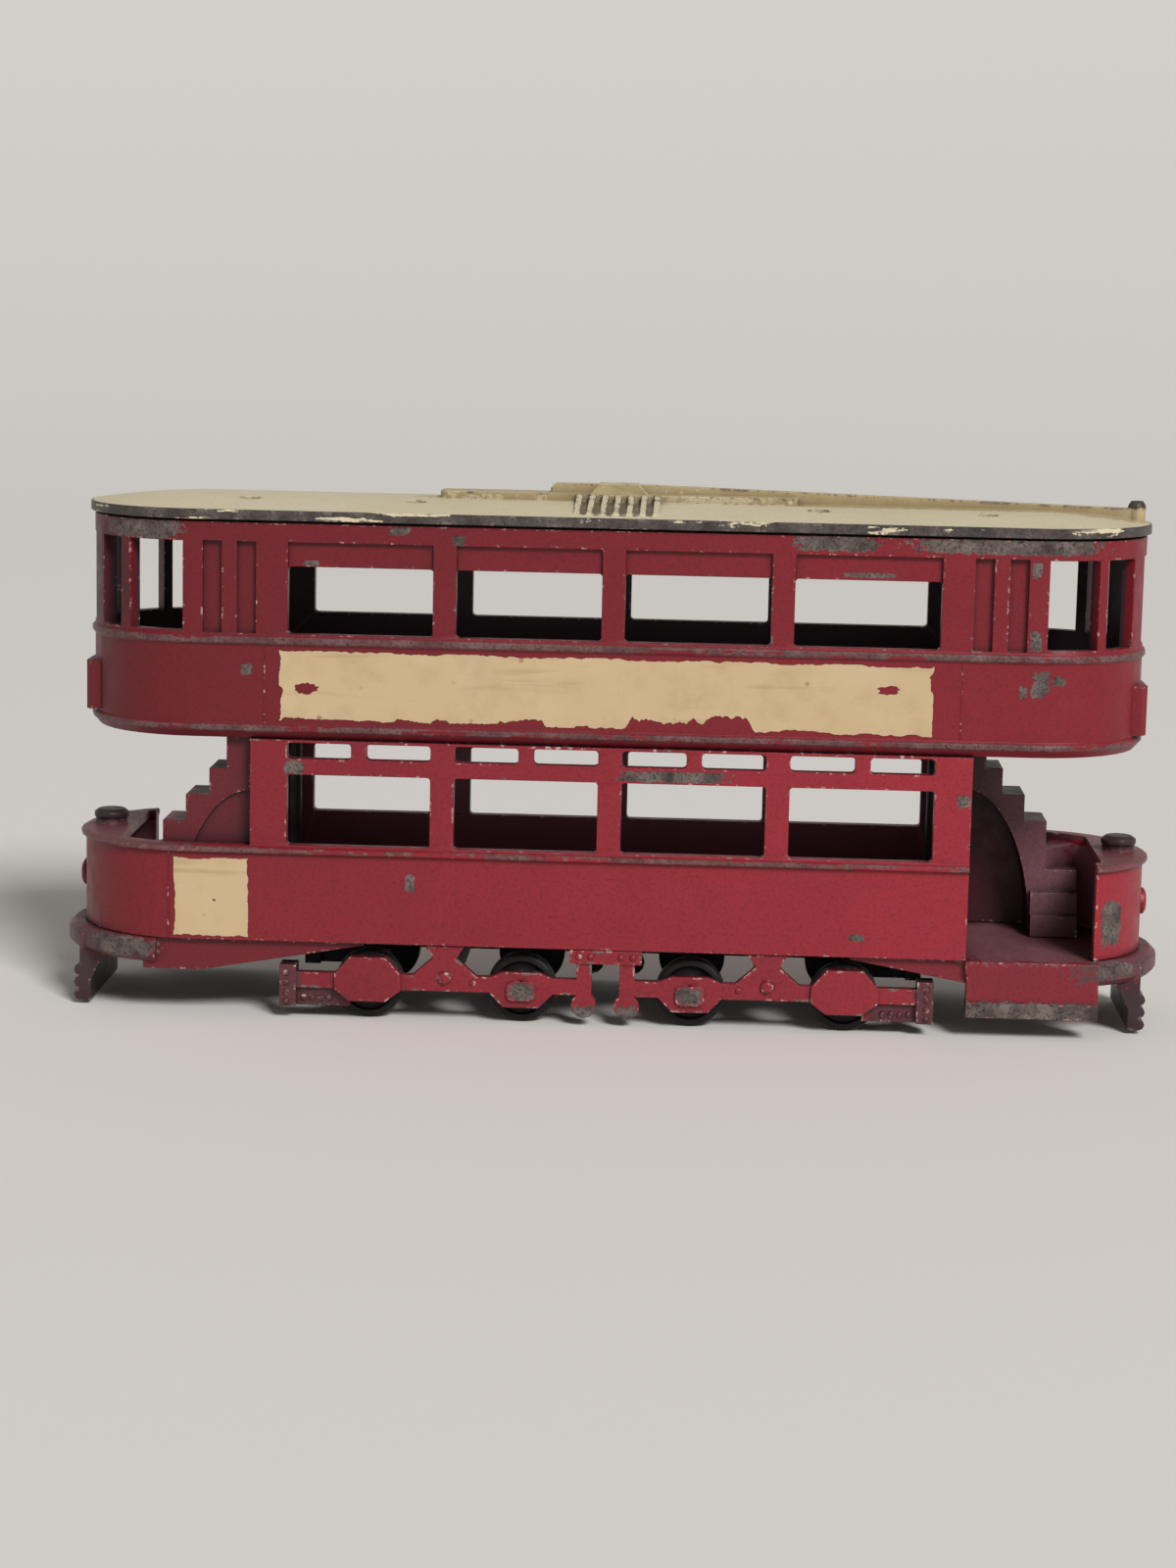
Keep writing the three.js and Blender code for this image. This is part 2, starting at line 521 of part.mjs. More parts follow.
// Lifeguards: a hung gate under each bumper with cross bars on its face and a brace at each side
function lifeguards() {
  const top = floorLevel - PLATFORM / 2;
  const back = dashHalf - LIFEGUARD.back;
  const face = back + LIFEGUARD.thickness;
  const half = LIFEGUARD.width / 2;
  const gate = boxGeometry([back, face], [-half, half], [LIFEGUARD.lift, top]);
  const braceSection = shapeOf([[back - BRACE.reach, top], [face, LIFEGUARD.lift], [face, top]]);
  const braces = [-half, half - BRACE.thickness].map(
    (y) => sidePrism(braceSection, [y, y + BRACE.thickness]));
  const bars = Array.from({ length: GUARD_BARS.count }, (_, bar) => crosswise(
    pin(GUARD_BARS.radius, -half, half), SMALL_SEGMENTS)
    .translate(face, 0, LIFEGUARD.lift + GUARD_BARS.radius + bar * GUARD_BARS.pitch));
  return [gate, ...braces, ...bars].flatMap(ends);
}

// Underframe: saloon floor, platforms, bumpers, steps, lifeguards, bearers, bolsters and the deck's posts
function underframe() {
  const floorEnd = saloonHalf - WALL - SIDE_GAP;
  const floorWidth = innerWidth - SIDE_GAP;
  const floorLevels = [floorBottom, floorBottom + SALOON_FLOOR];
  const floor = box([-floorEnd, floorEnd], [-floorWidth, floorWidth], floorLevels);
  const platformLevels = [floorLevel - PLATFORM, floorLevel];
  const platformPlan = core(dashHalf, halfWidth, platformLevels);
  const platforms = [
    ...ends(boxGeometry([saloonHalf, dashHalf + CLEAR], [-halfWidth, underWidth], platformLevels)),
    ...ends(boxGeometry([dashHalf - BUMPER.back, dashHalf + CLEAR], [-halfWidth, halfWidth], platformLevels)),
    ...ends(boxGeometry(
      [floorEnd - PLATFORM_LAP, saloonHalf + CLEAR], [-underWidth, underWidth], platformLevels)),
  ].map((block) => platformPlan.intersect(block));
  const boardTop = floorLevel - STEP.riser;
  const stepSpan = [saloonHalf + SIDE_GAP, entranceEnd + STEP.past];
  const stepFace = -halfWidth - STEP.proud;
  const steps = [
    ...ends(boxGeometry(stepSpan, [-halfWidth, WALL - halfWidth], [boardTop - STEP.board / 2, floorLevel])),
    ...ends(boxGeometry(stepSpan, [stepFace, stepFace + STEP.depth], [boardTop - STEP.board, boardTop])),
  ];
  const bearerStart = outerAxle + BEARER.start;
  const bearerLow = floorLevel - BEARER.depth;
  const stairSpan = [underWidth - BEARER.width, underWidth];
  const doorSpan = [-underWidth, BEARER.width - underWidth];
  const taper = (end) => shapeOf([
    [bearerStart, floorLevel - BEARER.heel], [saloonHalf + BEARER.deepest, bearerLow], [end, bearerLow],
    [end, floorLevel - PLATFORM / 2], [floorEnd, floorLevel], [bearerStart, floorLevel],
  ]);
  const stairBearers = ends(sidePrism(taper(dashHalf - BUMPER.back + CLEAR), stairSpan));
  const doorBearers = ends(sidePrism(taper(saloonHalf + BEARER.deepest + SIDE_GAP), doorSpan));
  const bearerRoots = corners(boxGeometry([bearerStart, floorEnd], [floorWidth - BEARER.width, underWidth],
    [floorBottom, floorLevel]));
  const postTop = deckBottom - SEAT_GAP;
  const posts = ends(upright(pin(DECK_POST.radius, floorBottom, postTop)).translate(deckPost, 0, 0));
  const postBores = ends(
    upright(rivetHole(RIVET, postTop - RIVET.grip, postTop + CLEAR)).translate(deckPost, 0, 0));
  const bolsterEnd = frameInner - SIDE_GAP;
  const bolsters = ends(boxGeometry([bolster - BOLSTER.width / 2, bolster + BOLSTER.width / 2],
    [-bolsterEnd, bolsterEnd], [floorBottom - BOLSTER.depth, floorLevel]));
  const bolsterBores = corners(
    crosswise(rivetHole(FRAME_RIVET, bolsterEnd - FRAME_RIVET.grip, bolsterEnd + CLEAR))
    .translate(bolster, 0, axleHeight + FRAME_RIVET_LIFT));
  const bearers = [...stairBearers, ...doorBearers, ...bearerRoots];
  const body = join(floor, platforms, steps, bearers, bumpers(stepSpan[1]), lifeguards(), posts, bolsters);
  return cut(body, postBores, bolsterBores);
}

// One truck side frame strip on the car's left: two trucks and the legs between them
function truckFrame() {
  const barBottom = axleHeight - BAR.below;
  const barTop = axleHeight + BAR.above;
  const plain = [frameInner, frameOuter];
  const raised = (proud) => [frameInner, frameOuter + proud];
  const axleBox = (place, { width, flat, above, below }) => shapeOf([
    [place - flat / 2, axleHeight - below], [place + flat / 2, axleHeight - below],
    [place + width / 2, barBottom], [place + width / 2, barTop],
    [place + flat / 2, axleHeight + above], [place - flat / 2, axleHeight + above],
    [place - width / 2, barTop], [place - width / 2, barBottom],
  ]);
  const boss = roundedRectangle(innerAxle - INNER_BOSS.width / 2, innerAxle + INNER_BOSS.width / 2,
    axleHeight - INNER_BOSS.height / 2, axleHeight + INNER_BOSS.height / 2, INNER_BOSS.corner);
  const neck = shapeOf([
    [bolster - NECK.foot / 2, barTop], [bolster - NECK.foot / 2, barBottom],
    [bolster + NECK.foot / 2, barBottom], [bolster + NECK.foot / 2, barTop],
    [bolster + NECK.waist / 2, floorLevel - NECK.flare], [bolster + NECK.top / 2, floorLevel],
    [bolster - NECK.top / 2, floorLevel], [bolster - NECK.waist / 2, floorLevel - NECK.flare],
  ]);
  const endOuter = outerAxle + FRAME_END.beyond;
  const endInner = endOuter - FRAME_END.length;
  const endBottom = axleHeight - FRAME_END.below;
  const footHeight = LEG.lift + LEG.foot;
  const half = [
    boxGeometry([LEG.place, endInner + FRAME_END.length / 2], plain, [barBottom, barTop]),
    sidePrism(axleBox(outerAxle, OUTER_BOX), raised(OUTER_BOX.proud)),
    sidePrism(axleBox(innerAxle, INNER_BOX), plain),
    sidePrism(boss, raised(INNER_BOSS.proud)),
    sidePrism(neck, plain),
    boxGeometry([endInner, endOuter], [frameOuter - FRAME_END.depth, frameOuter + FRAME_END.proud],
      [endBottom, axleHeight + FRAME_END.above]),
    boxGeometry([outerAxle + OUTER_BOX.flat / 2, endInner + FRAME_END.length / 2],
      [frameInner, frameOuter - END_STRIP_SETBACK], [endBottom, axleHeight]),
    boxGeometry([LEG.place - LEG.width / 2, LEG.place + LEG.width / 2], plain,
      [footHeight, floorLevel - CENTRE_PLATE.height / 2]),
    crosswise(pin(LEG.foot, ...plain)).translate(LEG.place, 0, footHeight),
  ];
  const halves = half.flatMap((piece) => [solid(piece), solid(mirrored(piece))]);
  const plate = box([-CENTRE_PLATE.width / 2, CENTRE_PLATE.width / 2], raised(CENTRE_PLATE.proud),
    [floorLevel - CENTRE_PLATE.height, floorLevel]);
  const bearings = [outerAxle, innerAxle, -innerAxle, -outerAxle].map((place) => solid(
    crosswise(pin(AXLE_RADIUS + AXLE_PLAY, frameInner - CLEAR, frameOuter)).translate(place, 0, axleHeight)));
  const rivetHoles = [bolster, -bolster].map((place) => solid(
    crosswise(rivetHole(FRAME_RIVET, frameInner - CLEAR, frameOuter + CLEAR))
      .translate(place, 0, axleHeight + FRAME_RIVET_LIFT)));
  return cut(join(halves, plate), bearings, rivetHoles);
}

// Staircase of the front platform, on the car's left: entry steps, a turn and a flight over an arch
function staircase() {
  const foot = floorLevel + SEAT_GAP;
  const head = deckBottom - SEAT_GAP;
  const wall = saloonHalf + SIDE_GAP;
  const outer = innerWidth - SIDE_GAP;
  const inner = outer - STAIR_WIDTH;
  const nosing = (tread) => wall + TREADS.first + tread * TREADS.going;
  const flightEnd = nosing(TREADS.count - 1);
  const profile = Array.from({ length: TREADS.count }, (_, tread) => {
    const height = foot + TREADS.top - tread * TREADS.rise;
    const riser = tread === 0 ? wall + STAIR_POST : nosing(tread - 1);
    return [[riser, height], [nosing(tread), height]];
  }).flat();
  const flight = solid(sidePrism(shapeOf([
    [wall, foot], [flightEnd, foot], ...profile.reverse(), [wall + STAIR_POST, head], [wall, head],
  ]), [inner, outer]));
  const arch = new THREE.Shape();
  arch.moveTo(wall - CLEAR, foot - CLEAR);
  arch.lineTo(wall + STAIR_ARCH.reach, foot - CLEAR);
  arch.lineTo(wall + STAIR_ARCH.reach, foot);
  arch.absellipse(wall, foot, STAIR_ARCH.reach, STAIR_ARCH.height, 0, Math.PI / 2, false);
  arch.lineTo(wall - CLEAR, foot + STAIR_ARCH.height);
  const webOuter = outer - STAIR_ARCH.recess;
  const archCuts = [[inner - CLEAR, webOuter - STAIR_ARCH.web], [webOuter, outer + CLEAR]]
    .map((span) => solid(sidePrism(arch, span, ARCH_SEGMENTS)));
  const entryEnd = wall + ENTRY.reach;
  const entries = Array.from({ length: ENTRY.steps + 1 }, (_, step) => box(
    [wall + STAIR_ARCH.reach, entryEnd],
    [inner - (ENTRY.steps - step) * ENTRY.going, outer], [foot, foot + (step + 1) * ENTRY.rise]));
  const turnSize = entryEnd - flightEnd;
  const turn = solid(planPrism(shapeOf([
    [flightEnd, inner], [entryEnd, inner + turnSize], [entryEnd, outer], [flightEnd, outer],
  ]), [foot, foot + (ENTRY.steps + 2) * ENTRY.rise]));
  const platformPlan = core(dashHalf - WALL - SIDE_GAP, outer, [foot - CLEAR, head + CLEAR]);
  const behindShelf = box([0, shelfEdge - SIDE_GAP], [-halfWidth, halfWidth], [foot - CLEAR, head + CLEAR]);
  return join(cut(flight, archCuts), entries, turn).intersect(platformPlan).intersect(behindShelf);
}

// Wheel on the car's left, turned about the car's width: chamfered tread, dished face and hub
function wheel() {
  const outer = frameInner - WHEEL_SIDE_PLAY;
  const inner = outer - WHEEL_WIDTH;
  const bore = AXLE_RADIUS + WHEEL_BORE;
  const rim = WHEEL_RADIUS - WHEEL_RIM.width;
  return solid(crosswise([
    [bore, inner], [WHEEL_RADIUS - WHEEL_RIM.chamfer, inner], [WHEEL_RADIUS, inner + WHEEL_RIM.chamfer],
    [WHEEL_RADIUS, outer - WHEEL_RIM.chamfer], [WHEEL_RADIUS - WHEEL_RIM.chamfer, outer],
    [rim, outer], [rim - WHEEL_RIM.dish, outer - WHEEL_RIM.dish], [WHEEL_HUB, outer - WHEEL_RIM.dish],
    [WHEEL_HUB, outer], [bore, outer], [bore, inner],
  ], WHEEL_SEGMENTS));
}

// Axle across the car, with both ends inside the axle boxes
function axle() {
  const half = frameOuter - AXLE_END_PLAY;
  return solid(crosswise(pin(AXLE_RADIUS, -half, half)));
}

// Domed rivet, its head under a seat at height 0 and its shank upwards
const rivetProfile = ({ radius, head, crown: top, edge, height, grip }) => [
  [0, -height], [top, -height], [head, -edge], [head, 0],
  [radius, 0], [radius, grip - RIVET_PLAY], [0, grip - RIVET_PLAY],
];

// The assembly, from the underframe up
const tram = new THREE.Group();

function add(name, body, material) {
  const mesh = toMesh(name, body, material);
  tram.add(mesh);
  return mesh;
}

add('underframe_casting', underframe(), redEnamel);
const stairs = staircase();
add('front_staircase', stairs, redEnamel);
add('rear_staircase', stairs, redEnamel).rotation.z = Math.PI;
add('lower_deck_casting', lowerDeck(), redEnamel);
add('upper_deck_casting', upperDeck(), redEnamel);
add('roof_casting', roof(), creamEnamel);

const frame = truckFrame();
add('left_truck_frame', frame, redEnamel);
add('right_truck_frame', frame, redEnamel).rotation.z = Math.PI;

const axleSolid = axle();
const wheelSolid = wheel();
const axlePlaces = {
  front_outer: outerAxle,
  front_inner: innerAxle,
  rear_inner: -innerAxle,
  rear_outer: -outerAxle,
};
for (const [name, place] of Object.entries(axlePlaces)) {
  add(`${name}_axle`, axleSolid, brightSteel).position.set(place, 0, axleHeight);
  add(`${name}_wheel_left`, wheelSolid, blackenedSteel).position.set(place, 0, axleHeight);
  const rightWheel = add(`${name}_wheel_right`, wheelSolid, blackenedSteel);
  rightWheel.position.set(place, 0, axleHeight);
  rightWheel.rotation.z = Math.PI;
}

const upRivet = solid(upright(rivetProfile(RIVET), SMALL_SEGMENTS));
const sideRivet = solid(crosswise(rivetProfile(FRAME_RIVET), SMALL_SEGMENTS));
const rivetHeight = axleHeight + FRAME_RIVET_LIFT;
for (const [name, end] of [['front', 1], ['rear', -1]]) {
  add(`${name}_roof_rivet`, upRivet, brightSteel).position.set(end * roofPost, 0, deckBottom - SEAT_GAP);
  const deckRivet = add(`${name}_deck_rivet`, upRivet, brightSteel);
  deckRivet.position.set(end * deckPost, 0, deckFloorTop + SEAT_GAP);
  deckRivet.rotation.x = Math.PI;
  const rightRivet = add(`${name}_frame_rivet_right`, sideRivet, brightSteel);
  rightRivet.position.set(end * bolster, -frameOuter - SEAT_GAP, rivetHeight);
  const leftRivet = add(`${name}_frame_rivet_left`, sideRivet, brightSteel);
  leftRivet.position.set(end * bolster, frameOuter + SEAT_GAP, rivetHeight);
  leftRivet.rotation.z = Math.PI;
}

export default tram;
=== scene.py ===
"""Looks of a worn die-cast toy tramcar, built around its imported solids.

Everything is in metres in the car's own frame: +X to its front, +Y to its left, +Z up from the ground.
The car is the same from either end, so many places are given once and turned half round for their twins.
"""

import math
import random

import bmesh
import bpy
from mathutils import Matrix, Vector
from mathutils.bvhtree import BVHTree


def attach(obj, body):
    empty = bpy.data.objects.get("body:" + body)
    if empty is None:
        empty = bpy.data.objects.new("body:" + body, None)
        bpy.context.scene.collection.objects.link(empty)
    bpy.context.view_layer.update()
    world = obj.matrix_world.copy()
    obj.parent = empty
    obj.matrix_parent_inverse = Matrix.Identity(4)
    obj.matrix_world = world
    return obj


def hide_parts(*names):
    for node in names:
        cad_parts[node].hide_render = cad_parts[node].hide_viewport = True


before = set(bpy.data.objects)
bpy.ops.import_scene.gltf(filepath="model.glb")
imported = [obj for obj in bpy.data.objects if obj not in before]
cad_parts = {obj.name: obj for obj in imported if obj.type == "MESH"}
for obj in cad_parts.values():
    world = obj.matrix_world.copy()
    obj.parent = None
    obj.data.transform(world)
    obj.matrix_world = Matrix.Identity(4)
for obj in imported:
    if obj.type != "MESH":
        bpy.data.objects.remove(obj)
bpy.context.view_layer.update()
scene = bpy.context.scene
scene.view_settings.view_transform = "Standard"

# Camera
# The car was taken square to its side from a quarter of a metre, a little above the roof,
# with a moderately long lens. The sensor's 36 mm lie along the picture's height.
MM = 0.001
EYE = Vector((7.53, -242.73, 54.12)) * MM
YAW, PITCH, ROLL = (math.radians(angle) for angle in (2.216, -8.806, 1.195))

camera = bpy.data.objects.new("camera", bpy.data.cameras.new("camera"))
camera.data.lens = 76.31
camera.data.sensor_width = 36.0
camera.data.clip_start = 10 * MM
camera.matrix_world = (
    Matrix.Translation(EYE)
    @ Matrix.Rotation(YAW, 4, "Z")
    @ Matrix.Rotation(math.pi / 2 + PITCH, 4, "X")
    @ Matrix.Rotation(ROLL, 4, "Z")
)
scene.collection.objects.link(camera)
scene.camera = camera


# Underframe
# One zinc casting with the saloon floor, platforms, bumpers, steps and lifeguards, dipped in red enamel.
# The enamel is rubbed to the grey metal on the bumpers and step boards, where floors and fingers reach it.
def linear(code):
    """An sRGB hex colour as the linear RGBA that a shader takes."""
    parts = [int(code[i:i + 2], 16) / 255 for i in (1, 3, 5)]
    return [p / 12.92 if p <= 0.04045 else ((p + 0.055) / 1.055) ** 2.4 for p in parts] + [1.0]


def add_node(tree, kind, inputs=None, out=0, **settings):
    """Adds one node with its settings. An input takes a value or another node's output.

    Gives the output of that number or name, or the node itself where out is None.
    """
    made = tree.nodes.new(kind)
    for name, value in settings.items():
        setattr(made, name, value)
    for key, value in (inputs or {}).items():
        if isinstance(value, bpy.types.NodeSocket):
            tree.links.new(value, made.inputs[key])
        else:
            made.inputs[key].default_value = value
    return made if out is None else made.outputs[out]


def plan_distance(tree, place, half_length, half_width):
    """How far a point lies outside a rectangle round the car's middle, seen from above, in mm."""
    spans = add_node(tree, "ShaderNodeVectorMath", {0: place}, operation="ABSOLUTE")
    corner = (half_length, half_width, 0)
    past = add_node(tree, "ShaderNodeVectorMath", {0: spans, 1: corner}, operation="SUBTRACT")
    outside = add_node(tree, "ShaderNodeVectorMath", {0: past, 1: (0, 0, 0)}, operation="MAXIMUM")
    flat = add_node(tree, "ShaderNodeVectorMath", {0: outside, 1: (1, 1, 0)}, operation="MULTIPLY")
    return add_node(tree, "ShaderNodeVectorMath", {0: flat}, operation="LENGTH", out="Value")


def within(tree, place, ragged, patches):
    """1 inside any of the patches, falling to 0 over a ragged edge.

    A patch is the middle and half sizes in mm of a block with rounded corners.
    """
    nearest = 9.0  # far outside
    for middle, half in patches:
        fitted = add_node(tree, "ShaderNodeMapping", {
            "Vector": place,
            "Location": [-m / h for m, h in zip(middle, half)],
            "Scale": [1 / h for h in half],
        })
        squared = add_node(tree, "ShaderNodeVectorMath", {0: fitted, 1: fitted}, operation="MULTIPLY")
        reach = add_node(tree, "ShaderNodeVectorMath", {0: squared}, operation="LENGTH", out="Value")
        nearest = add_node(tree, "ShaderNodeMath", {0: nearest, 1: reach}, operation="MINIMUM")
    # the noise, about 0.5, moves the edge in or out by up to a third of the half size
    torn = add_node(tree, "ShaderNodeMath", {0: ragged, 1: 3.0, 2: nearest}, operation="MULTIPLY_ADD")
    return add_node(tree, "ShaderNodeMapRange", {"Value": torn, "From Min": 2.5, "From Max": 2.36})


def at_levels(tree, height, levels):
    """1 between the lowest and highest of each pair of levels, in mm."""
    shares = [
        add_node(tree, "ShaderNodeMath", {0: height, 1: (low + high) / 2, 2: (high - low) / 2},
                 operation="COMPARE")
        for low, high in levels
    ]
    for share in shares[1:]:
        shares[0] = add_node(tree, "ShaderNodeMath", {0: shares[0], 1: share}, operation="MAXIMUM")
    return shares[0]


ZINC, ZINC_PALE, ZINC_PIT = "#463d3c", "#7c716b", "#2e2828"
# colours for dirt and painted shade in hollows, for the flecks of chipped edges, and for painted shade at
# the rear end
DIRT_AND_SHADE_COLOUR, FLECK, REAR_SHADE_COLOUR = "#2c1518", "#c2a099", "#3a0f16"
CHIP_REACH = 0.25  # mm from an edge


def cast_enamel(name, paint, faded, patches=(), crest=None, painted_shade_rooms=(), stains=(), wear=0.5,
                dirt_and_shade=DIRT_AND_SHADE_COLOUR, fleck=FLECK, hollows=2.5, rear_shade=0.45, specks=0.36):
    """Stove enamel on cast zinc: a soft gloss skin, faded in clouds, darkened in hollows by dirt and
    painted shade, chipped at edges.

    Sizes are in mm. patches are knocked off to the zinc, and each of stains is (colour, cover, patches).
    crest is (half length, from, to, levels, colour, cover): at those levels, what stands further out than
    that is rubbed, over that share, to mottled metal of that colour. Each room or underside painted dark as
    shade is (half length, half width, reach, levels, colour, start), from that start outwards along the
    car.
    wear is the share of chipped edges, and fleck the colour of their flecks. The dirt-and-shade colour lies
    in hollows of that size, partly as dirt and partly as painted shade, and as dirt in specks of that
    strength. The rear shade is how strongly painted shade darkens the car towards its rear end, with none
    at the front.
    """
    material = bpy.data.materials.new(name)
    material.use_nodes = True
    tree = material.node_tree
    tree.nodes.clear()
    coordinates = add_node(tree, "ShaderNodeTexCoord", out="Object")
    place = add_node(tree, "ShaderNodeVectorMath", {0: coordinates, "Scale": 1 / MM}, operation="SCALE")
    along, _, height = add_node(tree, "ShaderNodeSeparateXYZ", {0: place}, out=None).outputs
    # fading over some 9 mm, blotches of 1.3 mm, torn edges of 0.5 mm, and a grain drawn at 0.22 mm to show
    fading, blotches, tears, grain = (
        add_node(tree, "ShaderNodeTexNoise", {
            "Vector": place, "Scale": 1 / size, "Detail": detail, "Roughness": 0.62})
        for size, detail in ((9, 3), (1.3, 7), (0.5, 5), (0.22, 3))
    )
    thin = add_node(tree, "ShaderNodeAmbientOcclusion", {"Distance": CHIP_REACH * MM},
                    inside=True, only_local=True, samples=6, out="AO")
    brink = add_node(tree, "ShaderNodeMapRange", {"Value": thin, "From Min": 0.8, "From Max": 0.66})
    border = add_node(tree, "ShaderNodeMapRange", {"Value": thin, "From Min": 0.95, "From Max": 0.8})
    few = add_node(tree, "ShaderNodeMapRange", {
        "Value": tears, "From Min": 0.65 - 0.12 * wear, "From Max": 0.69 - 0.12 * wear})
    flecks = add_node(tree, "ShaderNodeMath", {0: brink, 1: few}, operation="MULTIPLY")
    fewer = add_node(tree, "ShaderNodeMapRange", {
        "Value": blotches, "From Min": 0.74 - 0.2 * wear, "From Max": 0.77 - 0.2 * wear})
    bare = add_node(tree, "ShaderNodeMath", {0: border, 1: fewer}, operation="MULTIPLY")
    if patches:
        knocked = within(tree, place, tears, patches)
        bare = add_node(tree, "ShaderNodeMath", {0: bare, 1: knocked}, operation="MAXIMUM")

    open_sky = add_node(tree, "ShaderNodeAmbientOcclusion", {"Distance": hollows * MM},
                        samples=6, out="AO")
    # darker in hollows: partly dirt, partly painted shade
    hollow_dirt_and_shade = add_node(tree, "ShaderNodeMapRange", {
        "Value": open_sky, "From Min": 0.85, "From Max": 0.3, "To Max": 0.85})
    dull = add_node(tree, "ShaderNodeMapRange", {
        "Value": grain, "From Min": 0.48, "From Max": 0.7, "To Max": specks})
    # painted shade: darker towards the rear end, none at the front
    rearward_shade = add_node(tree, "ShaderNodeMapRange", {
        "Value": along, "From Min": 20, "From Max": -40, "To Max": rear_shade})
    layers = [(linear(faded), fading), (linear(REAR_SHADE_COLOUR), rearward_shade)]
    for shade, cover, marks in stains:
        uneven = add_node(tree, "ShaderNodeMapRange", {
            "Value": blotches, "From Min": 0.35, "From Max": 0.6,
            "To Min": cover * cover, "To Max": cover})
        marked = within(tree, place, tears, marks)
        stained = add_node(tree, "ShaderNodeMath", {0: uneven, 1: marked}, operation="MULTIPLY")
        layers.append((linear(shade), stained))
    mottled = add_node(tree, "ShaderNodeMapRange", {"Value": blotches, "From Min": 0.35, "From Max": 0.65})
    cloudy = add_node(tree, "ShaderNodeMix", {
        "Factor": mottled, "A": linear(ZINC), "B": linear(ZINC_PALE)}, data_type="RGBA", out="Result")
    pits = add_node(tree, "ShaderNodeMapRange", {"Value": grain, "From Min": 0.5, "From Max": 0.7})
    zinc = add_node(tree, "ShaderNodeMix", {"Factor": pits, "A": cloudy, "B": linear(ZINC_PIT)},
                    data_type="RGBA", out="Result")
    if crest:
        half_length, start, end, levels, shade, cover = crest
        # rubbed in strokes some 5 mm long and 0.6 mm high
        lengthwise = add_node(tree, "ShaderNodeMapping", {"Vector": place, "Scale": (0.2, 0.2, 1.7)})
        strokes = add_node(tree, "ShaderNodeTexNoise", {
            "Vector": lengthwise, "Scale": 1, "Detail": 4, "Roughness": 0.55})
        frayed = add_node(tree, "ShaderNodeMath", {0: tears, 1: 0.3, 2: strokes}, operation="MULTIPLY_ADD")
        rubbed = add_node(tree, "ShaderNodeMapRange", {
            "Value": frayed, "From Min": 0.77 - 0.25 * cover, "From Max": 0.8 - 0.25 * cover})
        metal = add_node(tree, "ShaderNodeMix", {"Factor": 0.5, "A": linear(shade), "B": zinc},
                         data_type="RGBA", out="Result")
        proud = add_node(tree, "ShaderNodeMapRange", {
            "Value": plan_distance(tree, place, half_length, 0), "From Min": start, "From Max": end})
        banded = add_node(tree, "ShaderNodeMath", {0: proud, 1: at_levels(tree, height, levels)},
                          operation="MULTIPLY")
        worn = add_node(tree, "ShaderNodeMath", {0: banded, 1: rubbed}, operation="MULTIPLY")
        layers.append((metal, worn))
    layers += [(linear(dirt_and_shade), dull), (linear(dirt_and_shade), hollow_dirt_and_shade)]
    outwards = add_node(tree, "ShaderNodeMath", {0: along}, operation="ABSOLUTE")
    # rooms and undersides painted dark as shade
    for half_length, half_width, reach, levels, shade, start in painted_shade_rooms:
        walled = add_node(tree, "ShaderNodeMapRange", {
            "Value": plan_distance(tree, place, half_length, half_width),
            "From Min": reach + 0.1, "From Max": reach - 0.1})
        begun = add_node(tree, "ShaderNodeMath", {0: outwards, 1: start}, operation="GREATER_THAN")
        roomy = add_node(tree, "ShaderNodeMath", {0: walled, 1: begun}, operation="MULTIPLY")
        tall = at_levels(tree, height, [levels])
        painted_shade = add_node(tree, "ShaderNodeMath", {0: roomy, 1: tall}, operation="MULTIPLY")
        layers.append((linear(shade), painted_shade))
    layers += [(linear(fleck), flecks), (zinc, bare)]
    colour = linear(paint)
    for coat, mask in layers:
        colour = add_node(tree, "ShaderNodeMix", {"Factor": mask, "A": colour, "B": coat},
                          data_type="RGBA", out="Result")

    roughness = add_node(tree, "ShaderNodeMapRange", {
        "Value": blotches, "From Min": 0.3, "From Max": 0.7, "To Min": 0.34, "To Max": 0.52})
    metallic = add_node(tree, "ShaderNodeMath", {0: bare, 1: 0.35}, operation="MULTIPLY")
    skin = add_node(tree, "ShaderNodeMath", {0: bare, 1: -0.8, 2: grain}, operation="MULTIPLY_ADD")
    bump = add_node(tree, "ShaderNodeBump", {"Height": skin, "Strength": 0.42, "Distance": 0.03 * MM})
    shader = add_node(tree, "ShaderNodeBsdfPrincipled", {
        "Base Color": colour, "Roughness": roughness, "Metallic": metallic, "Normal": bump,
        "Specular IOR Level": 0.32})
    add_node(tree, "ShaderNodeOutputMaterial", {"Surface": shader}, out=None)
    return material


EDGE_ROUNDING = 0.045  # mm


